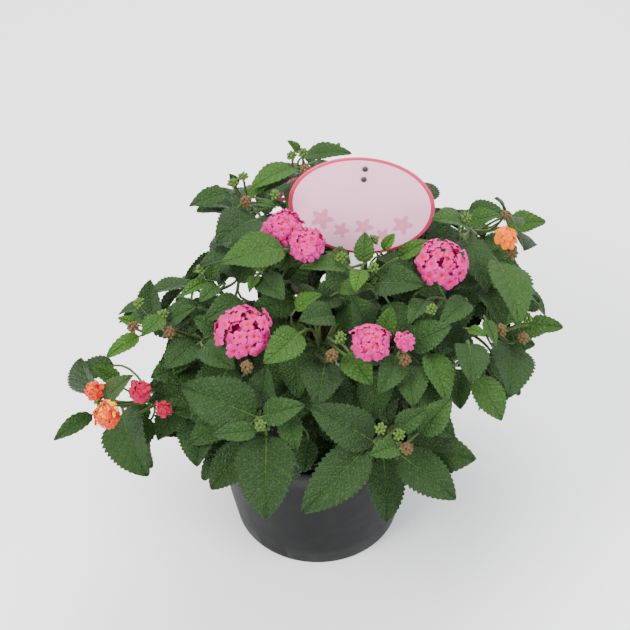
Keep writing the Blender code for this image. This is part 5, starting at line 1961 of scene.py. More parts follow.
@dataclass
class StemWork:
    """Round stems, stalks and bud clusters of one shoot."""

    sides: int = 8
    sheet: Sheet = field(default_factory=Sheet)

    def tube(self, path: list, radii: tuple, mark: Callable) -> None:
        """Add a closed round tube along a smooth path.

        Args:
            path: Points of the path.
            radii: Radius at its two ends, metres.
            mark: Gives the attribute of three numbers at a point.
        """
        last = len(path) - 1
        sizes = [radii[0] + (radii[-1] - radii[0]) * (i / last) for i in range(last + 1)]
        rings = []
        for point, ring in zip(path, rings_along(path, sizes, self.sides)):
            rings.append([self.sheet.put(corner, mark(point)) for corner in ring])
        self.sheet.faces += tube_faces(rings)

    def bud(self, centre: Vector, direction: Vector, length: float, width: float, mark: tuple,
            bend: float) -> None:
        """Add one pointed bud that stands on a centre.

        Args:
            centre: Foot of the bud.
            direction: The way it faces.
            length: Length, metres.
            width: Full width, metres.
            mark: Attribute of three numbers.
            bend: Share of its length that its point droops.
        """
        side = direction.orthogonal().normalized()
        ring = spokes(side, direction.cross(side), BUD_SIDES)
        rings = []
        for high, wide in BUD_PROFILE:
            middle = centre + direction * length * high
            middle -= Vector((0.0, 0.0, bend * length * high * high))
            rings.append([self.sheet.put(middle + spoke * width * wide, mark) for spoke in ring])
        self.sheet.faces += tube_faces(rings)

    def cluster(self, path: list, size: float, spent: bool, rng: random.Random) -> None:
        """Add a stalk with a cluster of green buds, or of spent brown bracts.

        Args:
            path: Points of the path.
            size: Diameter of the cluster, metres.
            spent: Whether the head is over and brown.
            rng: Seeded random source.
        """
        ahead = (path[-1] - path[-2]).normalized()
        end = path[-1]
        smooth = smooth_path(path, 5)
        self.tube(smooth, (STALK_RADIUS * 1.1, STALK_RADIUS * 0.8), lambda point: (0.0, 0.3, 0.0))
        quat = ahead.to_track_quat("Z", "Y")
        count = 16 if spent else 13
        for way in dome_points(count, -0.2 if spent else 0.05):
            spot = end + quat @ (way * size * 0.22)
            tone = rng.uniform(0.55, 1.0)
            mark = (0.0, 0.15, tone) if spent else (0.0, tone, 0.0)
            long = size * (rng.uniform(0.28, 0.42) if spent else rng.uniform(0.34, 0.46))
            self.bud(spot, quat @ way, long, size * 0.30, mark, 0.3 if spent else 0.0)


@dataclass
class LeafWork:
    """Fine leaves: toothed margins, puckers between the veins, a stalk under each."""

    teeth: int = 16
    across: int = 5
    skin: float = 0.45 * MM
    sheet: Sheet = field(default_factory=Sheet)

    def stations(self, teeth: int) -> list:
        """Places along a blade with how far the margin stands out there.

        Args:
            teeth: Number of teeth on one edge.

        Returns:
            Pairs of place and reach.
        """
        rows = [(0.0, 1.0)]
        for k in range(teeth):
            rows.append(((k + 0.42) / teeth, 1.03))
            rows.append(((k + 0.74) / teeth, 1.06))
            if k < teeth - 1:
                rows.append(((k + 1.0) / teeth, 0.945))
        rows.append((1.0, 1.0))
        return rows

    def add(self, placed: Placed, tone: float, rng: random.Random) -> None:
        """Add one leaf.

        Args:
            placed: The leaf in space.
            tone: How young the leaf is, 0 to 1.
            rng: Seeded random source.
        """
        teeth = max(7, round(self.teeth * min(1.0, placed.width / FULL_TEETH)))
        wave = rng.uniform(0.0, math.tau)
        ruffle = rng.uniform(0.02, 0.05) * placed.width
        pucker = 0.034 * placed.width
        twist = rng.uniform(-0.16, 0.16)
        grid = {}
        rows = self.stations(teeth)
        width = placed.width
        for i, (t, stand) in enumerate(rows):
            point, side, face = placed.blade_frame(t)
            turn = Matrix.Rotation(twist * t, 3, side.cross(face))
            side = turn @ side
            face = turn @ face
            half = max(half_width(t) * stand * width, 0.25 * MM) if t < 1.0 else 0.0
            for j in range(-self.across, self.across + 1):
                if i == len(rows) - 1 and j:
                    continue
                s = j / self.across
                mag = abs(s)
                phase = VEINS * t - VEIN_SWEEP * mag
                dome = abs(math.sin(math.pi * phase)) - 0.55
                lift = pucker * dome * (1.0 - mag ** 3) * min(1.0, 5.0 * mag + 0.25)
                lift += mag ** 2 * ruffle * math.sin(9.0 * t + wave + 1.7 * (1 if s > 0 else -1))
                lift += half * (mag * math.sin(FOLD) * (1.15 - 0.25 * mag))
                spot = point + side * s * half * math.cos(FOLD) + face * lift
                if j == 0:
                    spot = spot - face * 0.25 * MM
                up = self.sheet.put(spot + face * 0.5 * self.skin, (s, t, tone), 0.0)
                down = self.sheet.put(spot - face * 0.5 * self.skin, (s, t, tone), 1.0)
                grid[i, j] = (up, down)
        self.skin_over(grid, len(rows) - 1)

    def skin_over(self, grid: dict, last: int) -> None:
        """Join a leaf's points: both sides, its two margins and its base.

        Args:
            grid: Vertex indices of both faces by row and column.
            last: Last row.
        """
        faces = self.sheet.faces
        tip = grid[last, 0]
        for i in range(last):
            for j in range(-self.across, self.across):
                a, b = grid[i, j], grid[i, j + 1]
                if i == last - 1:
                    faces.append((a[0], b[0], tip[0]))
                    faces.append((b[1], a[1], tip[1]))
                    continue
                c, d = grid[i + 1, j + 1], grid[i + 1, j]
                faces.append((a[0], b[0], c[0], d[0]))
                faces.append((b[1], a[1], d[1], c[1]))
        for j in (-self.across, self.across):
            for i in range(last):
                a = grid[i, j]
                b = grid[i + 1, j] if i < last - 1 else tip
                wall = (a[0], b[0], b[1], a[1])
                faces.append(wall if j < 0 else tuple(reversed(wall)))
        for j in range(-self.across, self.across):
            a, b = grid[0, j], grid[0, j + 1]
            faces.append((b[0], a[0], a[1], b[1]))

    def stalk(self, stems: StemWork, placed: Placed) -> None:
        """Add the leaf's stalk and the ridge of its midrib to the stems.

        Args:
            stems: The stems that the stalk is added to.
            placed: The leaf in space.
        """
        ahead = placed.base - placed.root
        lead = placed.blade_frame(0.06)[0] - placed.base
        bend = placed.base - lead.normalized() * 0.4 * ahead.length
        path = [bezier((placed.root, bend, placed.base), k / 5.0) for k in range(6)]
        thick = 0.75 * MM * min(1.25, 0.55 + placed.width / (40.0 * MM))
        stems.tube(path, (thick * 1.25, thick), lambda spot: (0.0, 0.15, 0.0))
        rib = []
        for t in (0.0, 0.08, 0.2, 0.35, 0.5, 0.65, 0.8):
            spot, _, up = placed.blade_frame(t)
            rib.append(spot - up * (0.45 * MM))
        stems.tube(rib, (thick * 0.95, thick * 0.25), lambda spot: (0.0, 0.25, 0.0))


def dome_points(count: int, cover: float) -> Iterator:
    """Directions spread evenly over a dome that reaches down to cover (cosine).

    Args:
        count: How many.
        cover: Cosine of the lowest direction.

    Returns:
        Unit directions, one at a time.
    """
    turn = math.pi * (3.0 - math.sqrt(5.0))
    for k in range(count):
        z = 1.0 - (1.0 - cover) * (k + 0.5) / count
        ring = math.sqrt(max(0.0, 1.0 - z * z))
        yield Vector((ring * math.cos(k * turn), ring * math.sin(k * turn), z))


@dataclass
class HeadWork:
    """One flower head of ruffled, lobed florets over a small dome."""

    lobe_steps: int = 6
    skin: float = 0.22 * MM
    sheet: Sheet = field(default_factory=Sheet)

    def floret(self, centre: Vector, direction: Vector, spin: float, reach: float, depth: float,
               lobes: int, mix: float, age: float, rng: random.Random) -> None:
        """Add a floret: a throat, a flaring mouth with rounded lobes and a thin skin.

        Args:
            centre: Centre in space.
            direction: The way it faces.
            spin: Turn about the facing direction, radians.
            reach: Radius of the floret, metres.
            depth: Length of its foot below the centre, metres.
            lobes: Number of lobes.
            mix: Place between the two colours, 0 to 1.
            age: Share of the eye colour.
            rng: Seeded random source.
        """
        side = direction.orthogonal().normalized()
        other = direction.cross(side)
        wave = rng.uniform(0.0, 6.28)
        cup = rng.uniform(0.10, 0.30)
        count = self.lobe_steps * lobes
        rings = []
        for r in (0.12, 0.34, 0.66, 0.88, 1.0):
            ring = []
            for k in range(count):
                angle = math.tau * k / count
                lobe = abs(math.cos(0.5 * lobes * angle)) ** 0.55
                out = reach * r * ((0.62 + 0.38 * lobe) if r > 0.5 else 1.0)
                rise = -0.55 * (1.0 - min(1.0, r * 2.6)) ** 2 - cup * r * r
                rise += 0.12 * r * r * math.sin(2.0 * lobes * angle + wave)
                rise += 0.10 * r * r * math.sin(angle + 2.0 * wave)
                local = (side * math.cos(angle + spin) + other * math.sin(angle + spin)) * out
                point = centre + local + direction * reach * rise
                top = self.sheet.put(point, (r, mix, age))
                low = self.sheet.put(point - direction * self.skin, (r, mix, age))
                ring.append((top, low))
            rings.append(ring)
        faces = self.sheet.faces
        throat = self.sheet.put(centre - direction * reach * 0.50, (0.0, mix, age))
        foot = self.sheet.put(centre - direction * depth, (0.1, mix, age))
        for k in range(count):
            j = (k + 1) % count
            faces.append((throat, rings[0][k][0], rings[0][j][0]))
            faces.append((foot, rings[0][j][1], rings[0][k][1]))
            for low, high in zip(rings, rings[1:]):
                faces.append((low[k][0], high[k][0], high[j][0], low[j][0]))
                faces.append((low[j][1], high[j][1], high[k][1], low[k][1]))
            faces.append((rings[-1][k][0], rings[-1][k][1], rings[-1][j][1], rings[-1][j][0]))

    def build(self, spot: HeadSpot, rng: random.Random) -> None:
        """Cover the head's dome with florets, unopened ones in its middle.

        Args:
            spot: The placed head.
            rng: Seeded random source.
        """
        size = spot.size
        quat = spot.direction.to_track_quat("Z", "Y")
        count = max(7, round(spot.florets * 1.45))
        radius = 0.5 * size
        reach = min(6.2 * MM, 1.55 * radius * math.sqrt(2.0 / count))
        squash = Vector((1.0, 1.0, HEAD_SQUASH))
        shell = radius - 0.42 * reach
        for k, way in enumerate(dome_points(count, 0.02)):
            young = k / count
            centre = spot.centre + quat @ (way * squash * shell * rng.uniform(0.90, 1.06))
            facing = quat @ Vector((way.x, way.y, way.z / HEAD_SQUASH * 0.8)).normalized()
            facing += 0.26 * Vector([rng.uniform(-1.0, 1.0) for _ in range(3)])
            facing.normalize()
            lobes = 4 if rng.random() < 0.6 else 5
            grown = 0.66 + 0.34 * min(1.0, young * 2.6)
            age = max(0.0, 0.45 - 2.2 * young) * rng.uniform(0.6, 1.2)
            mix = rng.random() if spot.colour != "coral" else float(rng.random() < 0.42)
            spin = rng.uniform(0.0, 6.28)
            self.floret(centre, facing, spin, reach * grown * rng.uniform(0.92, 1.08),
                        0.5 * shell, lobes, mix, age, rng)
        inner = max(4, count // 2)
        for way in dome_points(inner, 0.35):
            way = quat @ (way * squash)
            self.floret(spot.centre + way * shell * 0.80, way.normalized(), rng.uniform(0.0, 6.28),
                        0.85 * reach, 0.4 * shell, 4, rng.random(), 0.35, rng)

    def core(self, spot: HeadSpot) -> None:
        """Add the dome that the florets' tubes stand in.

        Args:
            spot: The placed head.
        """
        bm = bmesh.new()
        bmesh.ops.create_uvsphere(bm, u_segments=14, v_segments=8, radius=0.25 * spot.size)
        bm.transform(turn_to(spot.direction, spot.centre)
                     @ Matrix.Diagonal((1.0, 1.0, 0.62, 1.0))
                     @ Matrix.Translation((0.0, 0.0, -0.14 * spot.size)))
        self.sheet.take(bm, (0.6, 0.2, 0.0))


@dataclass
class LabelWork:
    """The oval plate with its stake, and two rivets that hold it."""

    sides: int = 96
    bow: float = 1.2 * MM

    def plate(self, place: Matrix, foot_length: float) -> Mesh:
        """The plate and stake in one piece, gently bowed backwards at its sides.

        Args:
            place: Where it stands.
            foot_length: Length of the stake, metres.

        Returns:
            The closed mesh.
        """
        sheet = Sheet()
        loops = ((0.0, 0.0), (0.35, 0.0), (0.7, 0.0), (0.93, 0.0), (0.985, 0.06), (1.0, 0.5),
                 (0.985, 0.94), (0.93, 1.0), (0.7, 1.0), (0.35, 1.0), (0.0, 1.0))
        rings = []
        for share, deep in loops:
            ring = []
            for k in range(self.sides if share else 1):
                angle = math.tau * k / self.sides
                x = 0.5 * LABEL_WIDTH * share * math.cos(angle)
                y = 0.5 * LABEL_HEIGHT * share * math.sin(angle)
                bend = -self.bow * (x / (0.5 * LABEL_WIDTH)) ** 2
                spot = place @ Vector((x, y, bend - deep * LABEL_THICK))
                ring.append(sheet.put(spot, (x / MM, y / MM, float(deep > 0.5))))
            rings.append(ring)
        for low, high in zip(rings, rings[1:]):
            for k in range(self.sides):
                j = (k + 1) % self.sides
                if len(low) == 1:
                    sheet.faces.append((low[0], high[k], high[j]))
                elif len(high) == 1:
                    sheet.faces.append((low[k], high[0], low[j]))
                else:
                    sheet.faces.append((low[k], high[k], high[j], low[j]))
        bm = box((-0.5 * STAKE_WIDTH, -foot_length, -LABEL_THICK),
                 (0.5 * STAKE_WIDTH, -0.3 * LABEL_HEIGHT, -0.25 * LABEL_THICK))
        bmesh.ops.bevel(bm, geom=bm.edges[:], offset=0.25 * MM, segments=2, affect="EDGES")
        bm.transform(place)
        sheet.take(bm, (0.0, 0.0, 1.0))
        return sheet.mesh("label_fine", "label_place")

    def rivet(self, place: Matrix, lift: float) -> Mesh:
        """A low domed rivet on the plate.

        Args:
            place: Where it stands.
            lift: Place of the rivet over the middle, mm.

        Returns:
            The closed mesh.
        """
        bm = turned(((0.0, 0.0), (1.9 * MM, 0.0), (2.0 * MM, 0.3 * MM), (1.6 * MM, 0.75 * MM),
                     (0.9 * MM, 0.95 * MM), (0.0, 1.0 * MM)), 20)
        bmesh.ops.translate(bm, vec=(-1.0 * MM, lift * MM, GAP), verts=bm.verts)
        bm.transform(place)
        mesh = mesh_of(bm, "rivet_fine")
        mesh.shade_smooth()
        return mesh

    def build(self, place: Matrix, foot_length: float, finishes: Finishes) -> None:
        """Make the pieces.

        Args:
            place: Where it stands.
            foot_length: Length of the stake, metres.
            finishes: The materials.
        """
        new_piece("label_plate", self.plate(place, foot_length), finishes.label_plate(), "label",
                  ("label",))
        finish = speckled("rivet_plastic", 0.3, 800.0, (0.3, (0.03, 0.02, 0.02)),
                          (0.7, (0.07, 0.05, 0.05)))
        for k, lift in enumerate(RIVET_LIFTS):
            new_piece(f"label_rivet_{k + 1}", self.rivet(place, lift), finish, "rivet",
                      (f"rivet_{k + 1}",))


@dataclass
class PotWork:
    """The tapered pot and the soil that fills it."""

    sides: int = 96
    soil_sides: int = 84
    soil_rings: int = 26

    def pot(self) -> Mesh:
        """The pot with a rounded lip and foot edge, and three drain notches.

        Returns:
            The closed mesh.
        """
        low = POT_HEIGHT - LIP_DEPTH
        out = LIP_RADIUS
        inner = RIM_RADIUS - WALL
        profile = [(0.0, 0.0), (BASE_RADIUS - 2.2 * MM, 0.0), (BASE_RADIUS - 0.8 * MM, 0.3 * MM),
                   (BASE_RADIUS - 0.1 * MM, 1.2 * MM)]
        profile += [(wall_radius(low * k / 6.0), low * k / 6.0) for k in range(1, 6)]
        profile += [(wall_radius(low), low - 0.6 * MM), (wall_radius(low) + 0.7 * MM, low),
                    (out - 0.6 * MM, low + 0.2 * MM), (out, low + 0.9 * MM),
                    (out + 0.3 * MM, POT_HEIGHT - 2.0 * MM), (out + 0.1 * MM, POT_HEIGHT - 0.9 * MM),
                    (out - 0.6 * MM, POT_HEIGHT - 0.15 * MM), (out - 1.6 * MM, POT_HEIGHT),
                    (inner + 0.7 * MM, POT_HEIGHT - 0.1 * MM), (inner, POT_HEIGHT - 0.9 * MM),
                    (wall_radius(FLOOR) - WALL, FLOOR), (0.0, FLOOR)]
        pot = stand("pot_shell", mesh_of(turned(profile, self.sides), "pot_fine"))
        cutters = []
        for k in range(NOTCHES):
            bm = box((BASE_RADIUS - NOTCH_REACH, -0.5 * NOTCH_WIDTH, -5.0 * MM),
                     (BASE_RADIUS + NOTCH_REACH, 0.5 * NOTCH_WIDTH, NOTCH_HEIGHT))
            radial = [e for e in bm.edges if abs(e.verts[0].co.x - e.verts[1].co.x) > MM]
            upper = [e for e in radial if e.verts[0].co.z > 0.0]
            bmesh.ops.bevel(bm, geom=upper, offset=1.2 * MM, segments=4, affect="EDGES")
            bm.transform(Matrix.Rotation(math.radians(NOTCH_FIRST + 360.0 / NOTCHES * k), 4, "Z"))
            cutters.append(bm)
        mesh = cut(pot, cutters)
        bpy.data.objects.remove(pot)
        mesh.shade_smooth()
        mesh.set_sharp_from_angle(angle=math.radians(40.0))
        return mesh

    def soil(self) -> Mesh:
        """The soil plug with a lumpy top.

        Returns:
            The closed mesh.
        """
        low = FLOOR + GAP
        inner = WALL + GAP * 1.6
        sides = self.soil_sides
        rim = wall_radius(SOIL_TOP) - inner
        foot = wall_radius(low) - inner
        rings = [circle(foot * 0.02, low, sides), circle(foot, low, sides)]
        for ring in range(self.soil_rings, 0, -1):
            row = circle(rim * (ring / self.soil_rings), 0.0, sides)
            for spot in row:
                lump = noise.fractal(spot * 95.0, 1.0, 2.1, 4) * 2.6 * MM
                lump += noise.noise(spot * 420.0) * 1.1 * MM
                lump = max(-2.0 * SOIL_SWELL, min(SOIL_SWELL, lump))
                spot.z = SOIL_TOP + (lump if ring < self.soil_rings else -1.0 * MM)
            rings.append(row)
        bm = bmesh.new()
        for face in tube_faces([[bm.verts.new(point) for point in ring] for ring in rings]):
            bm.faces.new(face)
        bmesh.ops.recalc_face_normals(bm, faces=bm.faces)
        mesh = mesh_of(bm, "soil_fine")
        mesh.shade_smooth()
        return mesh

    def build(self, finishes: Finishes) -> None:
        """Make the pieces.

        Args:
            finishes: The materials.
        """
        new_piece("pot_body", self.pot(), finishes.pot(), "pot", ("pot",))
        soil = new_piece("soil_plug", self.soil(), finishes.soil(), "soil", ("soil",))
        top = top_of(soil.data, SOIL_TOP - 6.0 * MM, 0.9 * wall_radius(SOIL_TOP))
        crumbs = Scatter("soil_crumbs", Form.GRAIN, 5, 0.9e5, (0.5 * MM, 1.7 * MM))
        crumbs.build(top, finishes.soil(), "soil")
        grains = Scatter("soil_perlite", Form.GRAIN, 8, 0.5e4, (0.6 * MM, 1.5 * MM))
        white = speckled("perlite", 0.9, 900.0, (0.3, (0.45, 0.42, 0.37)),
                         (0.7, (0.66, 0.63, 0.58)))
        grains.build(top, white, "soil")
        bpy.data.meshes.remove(top)


def top_of(mesh: Mesh, height: float, reach: float) -> Mesh:
    """A copy of the faces of a mesh that lie above a height and within a radius.

    Args:
        mesh: The mesh to copy from.
        height: Lowest height of a face, metres.
        reach: Largest radius of a face, metres.

    Returns:
        The copied faces.
    """
    bm = bmesh.new()
    bm.from_mesh(mesh)
    low = [f for f in bm.faces if f.calc_center_median().z < height
           or f.calc_center_median().to_2d().length > reach or f.normal.z < 0.2]
    bmesh.ops.delete(bm, geom=low, context="FACES")
    return mesh_of(bm, mesh.name + "_top")


class Form(Enum):
    """The small forms that are scattered."""

    GRAIN = "grain"
    HAIR = "hair"


@dataclass
class Scatter:
    """Small things scattered over a surface by Geometry Nodes and kept as plain mesh."""

    name: str
    form: Form
    seed: int
    density: float
    sizes: tuple

    def tree(self) -> bpy.types.NodeTree:
        """The node group: points on faces, instances, random sizes, realised.

        Returns:
            The node group.
        """
        group = bpy.data.node_groups.new(self.name + "_nodes", "GeometryNodeTree")
        face = group.interface
        face.new_socket("Geometry", in_out="INPUT", socket_type="NodeSocketGeometry")
        for label in ("Density", "Smallest", "Largest"):
            face.new_socket(label, in_out="INPUT", socket_type="NodeSocketFloat")
        face.new_socket("Seed", in_out="INPUT", socket_type="NodeSocketInt")
        face.new_socket("Finish", in_out="INPUT", socket_type="NodeSocketMaterial")
        face.new_socket("Geometry", in_out="OUTPUT", socket_type="NodeSocketGeometry")
        nodes = group.nodes
        start = nodes.new("NodeGroupInput")
        end = nodes.new("NodeGroupOutput")
        points = nodes.new("GeometryNodeDistributePointsOnFaces")
        if self.form is Form.GRAIN:
            lean = 3.1
            seed = nodes.new("GeometryNodeMeshIcoSphere")
            settings = {"Radius": 0.5, "Subdivisions": 1}
        else:
            lean = 0.6
            seed = nodes.new("GeometryNodeMeshCone")
            settings = {"Vertices": 3, "Radius Top": 0.0, "Radius Bottom": 0.06, "Depth": 1.0}
        for socket, setting in settings.items():
            seed.inputs[socket].default_value = setting
        spread = nodes.new("GeometryNodeInstanceOnPoints")
        size = nodes.new("FunctionNodeRandomValue")
        size.data_type = "FLOAT"
        turn = nodes.new("FunctionNodeRandomValue")
        turn.data_type = "FLOAT_VECTOR"
        turn.inputs[0].default_value = (-lean, -lean, -lean)
        turn.inputs[1].default_value = (lean, lean, lean)
        rotate = nodes.new("GeometryNodeRotateInstances")
        real = nodes.new("GeometryNodeRealizeInstances")
        paint = nodes.new("GeometryNodeSetMaterial")
        for source, output, target, socket in (
                (start, "Geometry", points, "Mesh"), (start, "Density", points, "Density"),
                (start, "Seed", points, "Seed"), (points, "Points", spread, "Points"),
                (seed, "Mesh", spread, "Instance"), (start, "Smallest", size, 2),
                (start, "Largest", size, 3), (start, "Seed", size, "Seed"),
                (size, 1, spread, "Scale"), (points, "Rotation", spread, "Rotation"),
                (start, "Seed", turn, "Seed"), (spread, "Instances", rotate, "Instances"),
                (turn, 0, rotate, "Rotation"), (rotate, "Instances", real, "Geometry"),
                (real, "Geometry", paint, "Geometry"), (start, "Finish", paint, "Material"),
                (paint, "Geometry", end, "Geometry")):
            group.links.new(source.outputs[output], target.inputs[socket])
        return group

    def build(self, surface: Mesh, finish: Material, slot: str) -> bpy.types.Object:
        """Scatter over a surface and keep the result as a plain piece.

        Args:
            surface: Mesh to scatter over.
            finish: Material.
            slot: Material slot.

        Returns:
            The piece.
        """
        group = self.tree()
        carrier = stand(self.name + "_carrier", surface)
        made = carrier.modifiers.new("scatter", "NODES")
        made.node_group = group
        wanted = {"Density": self.density, "Smallest": self.sizes[0], "Largest": self.sizes[1],
                  "Seed": self.seed, "Finish": finish}
        for item in group.interface.items_tree:
            if item.in_out == "INPUT" and item.name in wanted:
                made[item.identifier] = wanted[item.name]
        graph = bpy.context.evaluated_depsgraph_get()
        graph.update()
        mesh = bpy.data.meshes.new_from_object(carrier.evaluated_get(graph))
        carrier.modifiers.remove(made)
        bpy.data.objects.remove(carrier)
        bpy.data.node_groups.remove(group)
        return new_piece(self.name, mesh, finish, slot)


@dataclass
class PlantWork:
    """Dresses the grown garden with fine leaves, stems, buds and flower heads."""

    garden: Garden
    finishes: Finishes
    seed: int = 23
    hairy: list = field(default_factory=list)

    def tone(self, placed: Placed, rng: random.Random) -> float:
        """How young and yellow a leaf is: small leaves and upper ones more.

        Args:
            placed: The leaf in space.
            rng: Seeded random source.

        Returns:
            The tone, 0 to 1.
        """
        small = max(0.0, 1.0 - placed.width / (26.0 * MM))
        deep = outwardness(placed.base)
        return min(1.0, max(0.0, 0.30 + 0.55 * small + 0.5 * (deep - 0.85)
                            + rng.uniform(-0.28, 0.24)))

    def shoots(self) -> None:
        """Every shoot's leaves and stems."""
        leaf = self.finishes.leaf()
        stem = self.finishes.stem()
        for node in sorted(self.garden.paths):
            rng = random.Random(f"{self.seed} {node}")
            leaves = LeafWork()
            stems = StemWork()
            for path, radii in self.garden.paths[node]:
                stems.tube(smooth_path(path, 4), (radii[0], radii[-1]), wood_mark)
            for path in self.garden.stalks.get(node, ()):
                stems.tube(smooth_path(path, 6), (STALK_RADIUS * 1.2, STALK_RADIUS * 0.9),
                           lambda point: (0.0, 0.35, 0.0))
            for path, size in self.garden.clusters.get(node, ()):
                stems.cluster(path, size, size > 0.5 * (BUD_SIZE + SPENT_SIZE), rng)
            for placed in self.garden.leaves.get(node, ()):
                leaves.add(placed, self.tone(placed, rng), rng)
                leaves.stalk(stems, placed)
            mesh = leaves.sheet.mesh(f"{node}_leaves", "leaf_place", "leaf_under")
            mesh.set_sharp_from_angle(angle=math.radians(62.0))
            new_piece(node.replace("shoot", "leaves"), mesh, leaf, "leaf", (node,))
            mesh = stems.sheet.mesh(f"{node}_stems", "stem_place")
            new_piece(node.replace("shoot", "stems"), mesh, stem, "leaf")
            self.hairy.append(mesh)

    def hairs(self) -> None:
        """Short stiff hairs on every stem and stalk."""
        bm = bmesh.new()
        for mesh in self.hairy:
            bm.from_mesh(mesh)
        low = [f for f in bm.faces if f.calc_center_median().z < SOIL_TOP + 8.0 * MM]
        bmesh.ops.delete(bm, geom=low, context="FACES")
        skin = mesh_of(bm, "stem_skins")
        scatter = Scatter("stem_hairs", Form.HAIR, 3, HAIR_DENSITY, (0.6 * MM, 1.3 * MM))
        pale = speckled("stem_hair", 0.5, 300.0, (0.3, (0.12, 0.17, 0.06)),
                        (0.7, (0.30, 0.34, 0.18)))
        scatter.build(skin, pale, "leaf")
        bpy.data.meshes.remove(skin)

    def heads(self) -> None:
        """Every flower head."""
        petals = {kind: self.finishes.petal(kind) for kind in Flower}
        for spot in self.garden.heads:
            rng = random.Random(f"{self.seed} {spot.name}")
            work = HeadWork()
            work.core(spot)
            work.build(spot, rng)
            mesh = work.sheet.mesh(f"{spot.name}_fine", "petal_place")
            mesh.set_sharp_from_angle(angle=math.radians(75.0))
            new_piece(f"florets_{spot.name[5:]}", mesh, petals[Flower(spot.colour)], spot.colour,
                      (spot.name,))


def outwardness(point: Vector) -> float:
    """How far out a point is on the mound: 1 on its surface."""
    away = point - MOUND_CENTRE
    return math.sqrt((away.x / MOUND_RADIUS) ** 2 + (away.y / MOUND_RADIUS) ** 2
                     + (away.z / MOUND_RISE) ** 2)


def wood_mark(point: Vector) -> tuple:
    """The stem attribute at a point: woody low down, green high up."""
    wood = max(0.0, min(1.0, 1.0 - (point.z - SOIL_TOP) / (90.0 * MM)))
    return (wood, 0.0, 0.0)


def thicken(garden: Garden, skeletons: dict, hubs: dict) -> None:
    """Fill the inside and the lower skirt of the plant with leaves that the solids leave out.

    Args:
        garden: The plant so far.
        skeletons: Skeletons by node name.
        hubs: Middle of each shoot by node name.
    """
    rng = random.Random(31)
    garden.limits = tuple(Vector(corner) for corner in CAD_BOX)
    fill_front(skeletons, rng)
    fill_sides(skeletons, rng)
    for share, count, width in FILL_ROUNDS:
        for name in sorted(skeletons):
            skeleton = skeletons[name]
            skeleton.grow_round(skeleton.along(hubs[name], share), count, width, rng)


def closest(skeletons: dict, place: Vector) -> Skeleton:
    """The shoot whose stems pass nearest to a place."""
    return min(skeletons.values(), key=lambda one: min(
        (point - place).length for point in one.points))


def fill_front(skeletons: dict, rng: random.Random) -> None:
    """Set leaves that face the viewer into the gaps of the front, from the outside inwards.

    Args:
        skeletons: Skeletons by node name.
        rng: Seeded random source.
    """
    for depth in FILL_DEPTHS:
        for _ in range(FILL_TRIES):
            spot = (rng.uniform(-165.0, 150.0), rng.uniform(-95.0, 90.0))
            place = on_mound(spot, depth)
            if not in_outline(place):
                continue
            skeleton = closest(skeletons, place)
            way = Vector(spot) + Vector((rng.uniform(-60.0, 60.0), rng.uniform(-95.0, 25.0)))
            way.normalize()
            width = rng.uniform(17.0, 33.0) * (0.75 + 0.25 * depth)
            tip = Vector(spot) + way * width * LENGTH_PER_WIDTH
            leaf = Leaf(spot, tuple(tip), width, depth)
            for scale in (1.0, 0.75):
                roll = rng.uniform(-25.0, 25.0)
                placed = skeleton.front_leaf(leaf, 0.0, roll, scale)
                if (placed.base - placed.root).length > FILL_STALK:
                    break
                if placed.shows_inside() and skeleton.try_leaf(placed):
                    break


def fill_sides(skeletons: dict, rng: random.Random) -> None:
    """Set leaves all round the mound that face outwards and up, from the outside inwards.

    Args:
        skeletons: Skeletons by node name.
        rng: Seeded random source.
    """
    for depth in FILL_DEPTHS:
        for k in range(2 * FILL_TRIES):
            turn = rng.uniform(0.0, 360.0) if k % 2 else rng.uniform(20.0, 165.0)
            place = mound_direction(turn, rng.uniform(-42.0, 60.0), depth)
            skeleton = closest(skeletons, place)
            out = outward(place)
            way = out.orthogonal()
            way = Matrix.Rotation(rng.uniform(0.0, math.tau), 3, out) @ way
            way = (way.normalized() + out * 0.5 - Vector((0.0, 0.0, 0.35))).normalized()
            size = rng.uniform(18.0, 31.0) * MM
            tip = place + way * size * LENGTH_PER_WIDTH
            facing = out + Vector((0.0, 0.0, 0.7))
            placed = skeleton.shape_leaf(place, tip, facing, size, 0.0)
            near = (placed.base - placed.root).length < FILL_STALK
            if near and placed.shows_inside():
                skeleton.try_leaf(placed)


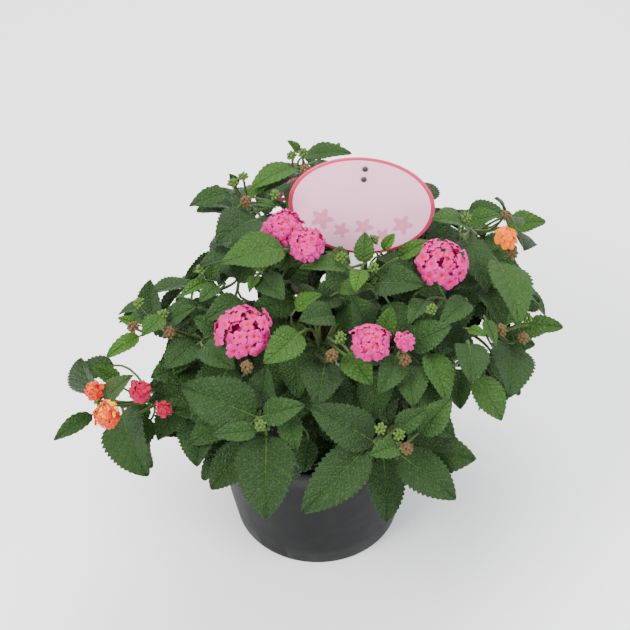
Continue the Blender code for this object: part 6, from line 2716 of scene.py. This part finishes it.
@dataclass
class Studio:
    """The camera of the photograph, the floor and the lights."""

    middle: float = -1.75 * MM
    distance: float = 1250.0 * MM
    lens: float = 102.0
    key_power: float = 46.0
    fill_power: float = 22.0
    top_power: float = 34.0

    def camera(self) -> None:
        """Look down at the mound at 45 degrees."""
        made = bpy.data.cameras.new("photo_camera")
        made.lens = self.lens
        made.sensor_width = 36.0
        made.clip_start = 0.05
        view = stand("photo_camera", made)
        aim = Vector((self.middle, 0.0, MOUND_CENTRE.z))
        view.location = aim + TOWARD * self.distance
        view.rotation_euler = (-TOWARD).to_track_quat("-Z", "Y").to_euler()
        bpy.context.scene.camera = view

    def light(self, name: str, place: tuple, power: float, size: float, colour: tuple) -> None:
        """An area light that faces the plant.

        Args:
            name: Name.
            place: Place in space, metres.
            power: Power, W.
            size: Side of the light, metres.
            colour: Linear colour.
        """
        made = bpy.data.lights.new(name, "AREA")
        made.shape = "DISK"
        made.size = size
        made.energy = power
        made.color = colour
        lamp = stand(name, made)
        lamp.location = place
        lamp.rotation_euler = (MOUND_CENTRE - Vector(place)).to_track_quat("-Z", "Y").to_euler()

    def build(self) -> None:
        """Set up the stage."""
        self.camera()
        self.light("key", (-0.9, -0.9, 1.5), self.key_power, 0.8, (1.0, 0.98, 0.95))
        self.light("fill", (1.4, -0.7, 0.9), self.fill_power, 1.2, (0.95, 0.98, 1.0))
        self.light("top", (0.1, 0.5, 1.7), self.top_power, 1.0, (1.0, 1.0, 1.0))
        world = bpy.data.worlds.new("studio")
        world.use_nodes = True
        back = world.node_tree.nodes["Background"]
        back.inputs["Color"].default_value = (0.93, 0.96, 1.0, 1.0)
        back.inputs["Strength"].default_value = 1.2
        bpy.context.scene.world = world
        bm = bmesh.new()
        bmesh.ops.create_grid(bm, x_segments=2, y_segments=2, size=6.0)
        mesh = mesh_of(bm, "studio_floor")
        mesh.materials.append(speckled("studio_floor", 0.7, 3.0, (0.0, (0.95, 0.95, 0.95)),
                                       (1.0, (0.98, 0.98, 0.98))))
        stand("studio_floor", mesh)


def main() -> None:
    """Dress the plant in the photograph's view and report every piece."""
    logging.basicConfig(level=logging.INFO, format="%(message)s")
    finishes = Finishes()
    Studio().build()
    garden, skeletons, hubs, label_place, foot_length = grow()
    thicken(garden, skeletons, hubs)
    PotWork().build(finishes)
    LabelWork().build(label_place, foot_length, finishes)
    work = PlantWork(garden, finishes)
    work.shoots()
    work.hairs()
    work.heads()


if __name__ == "__main__":
    main()
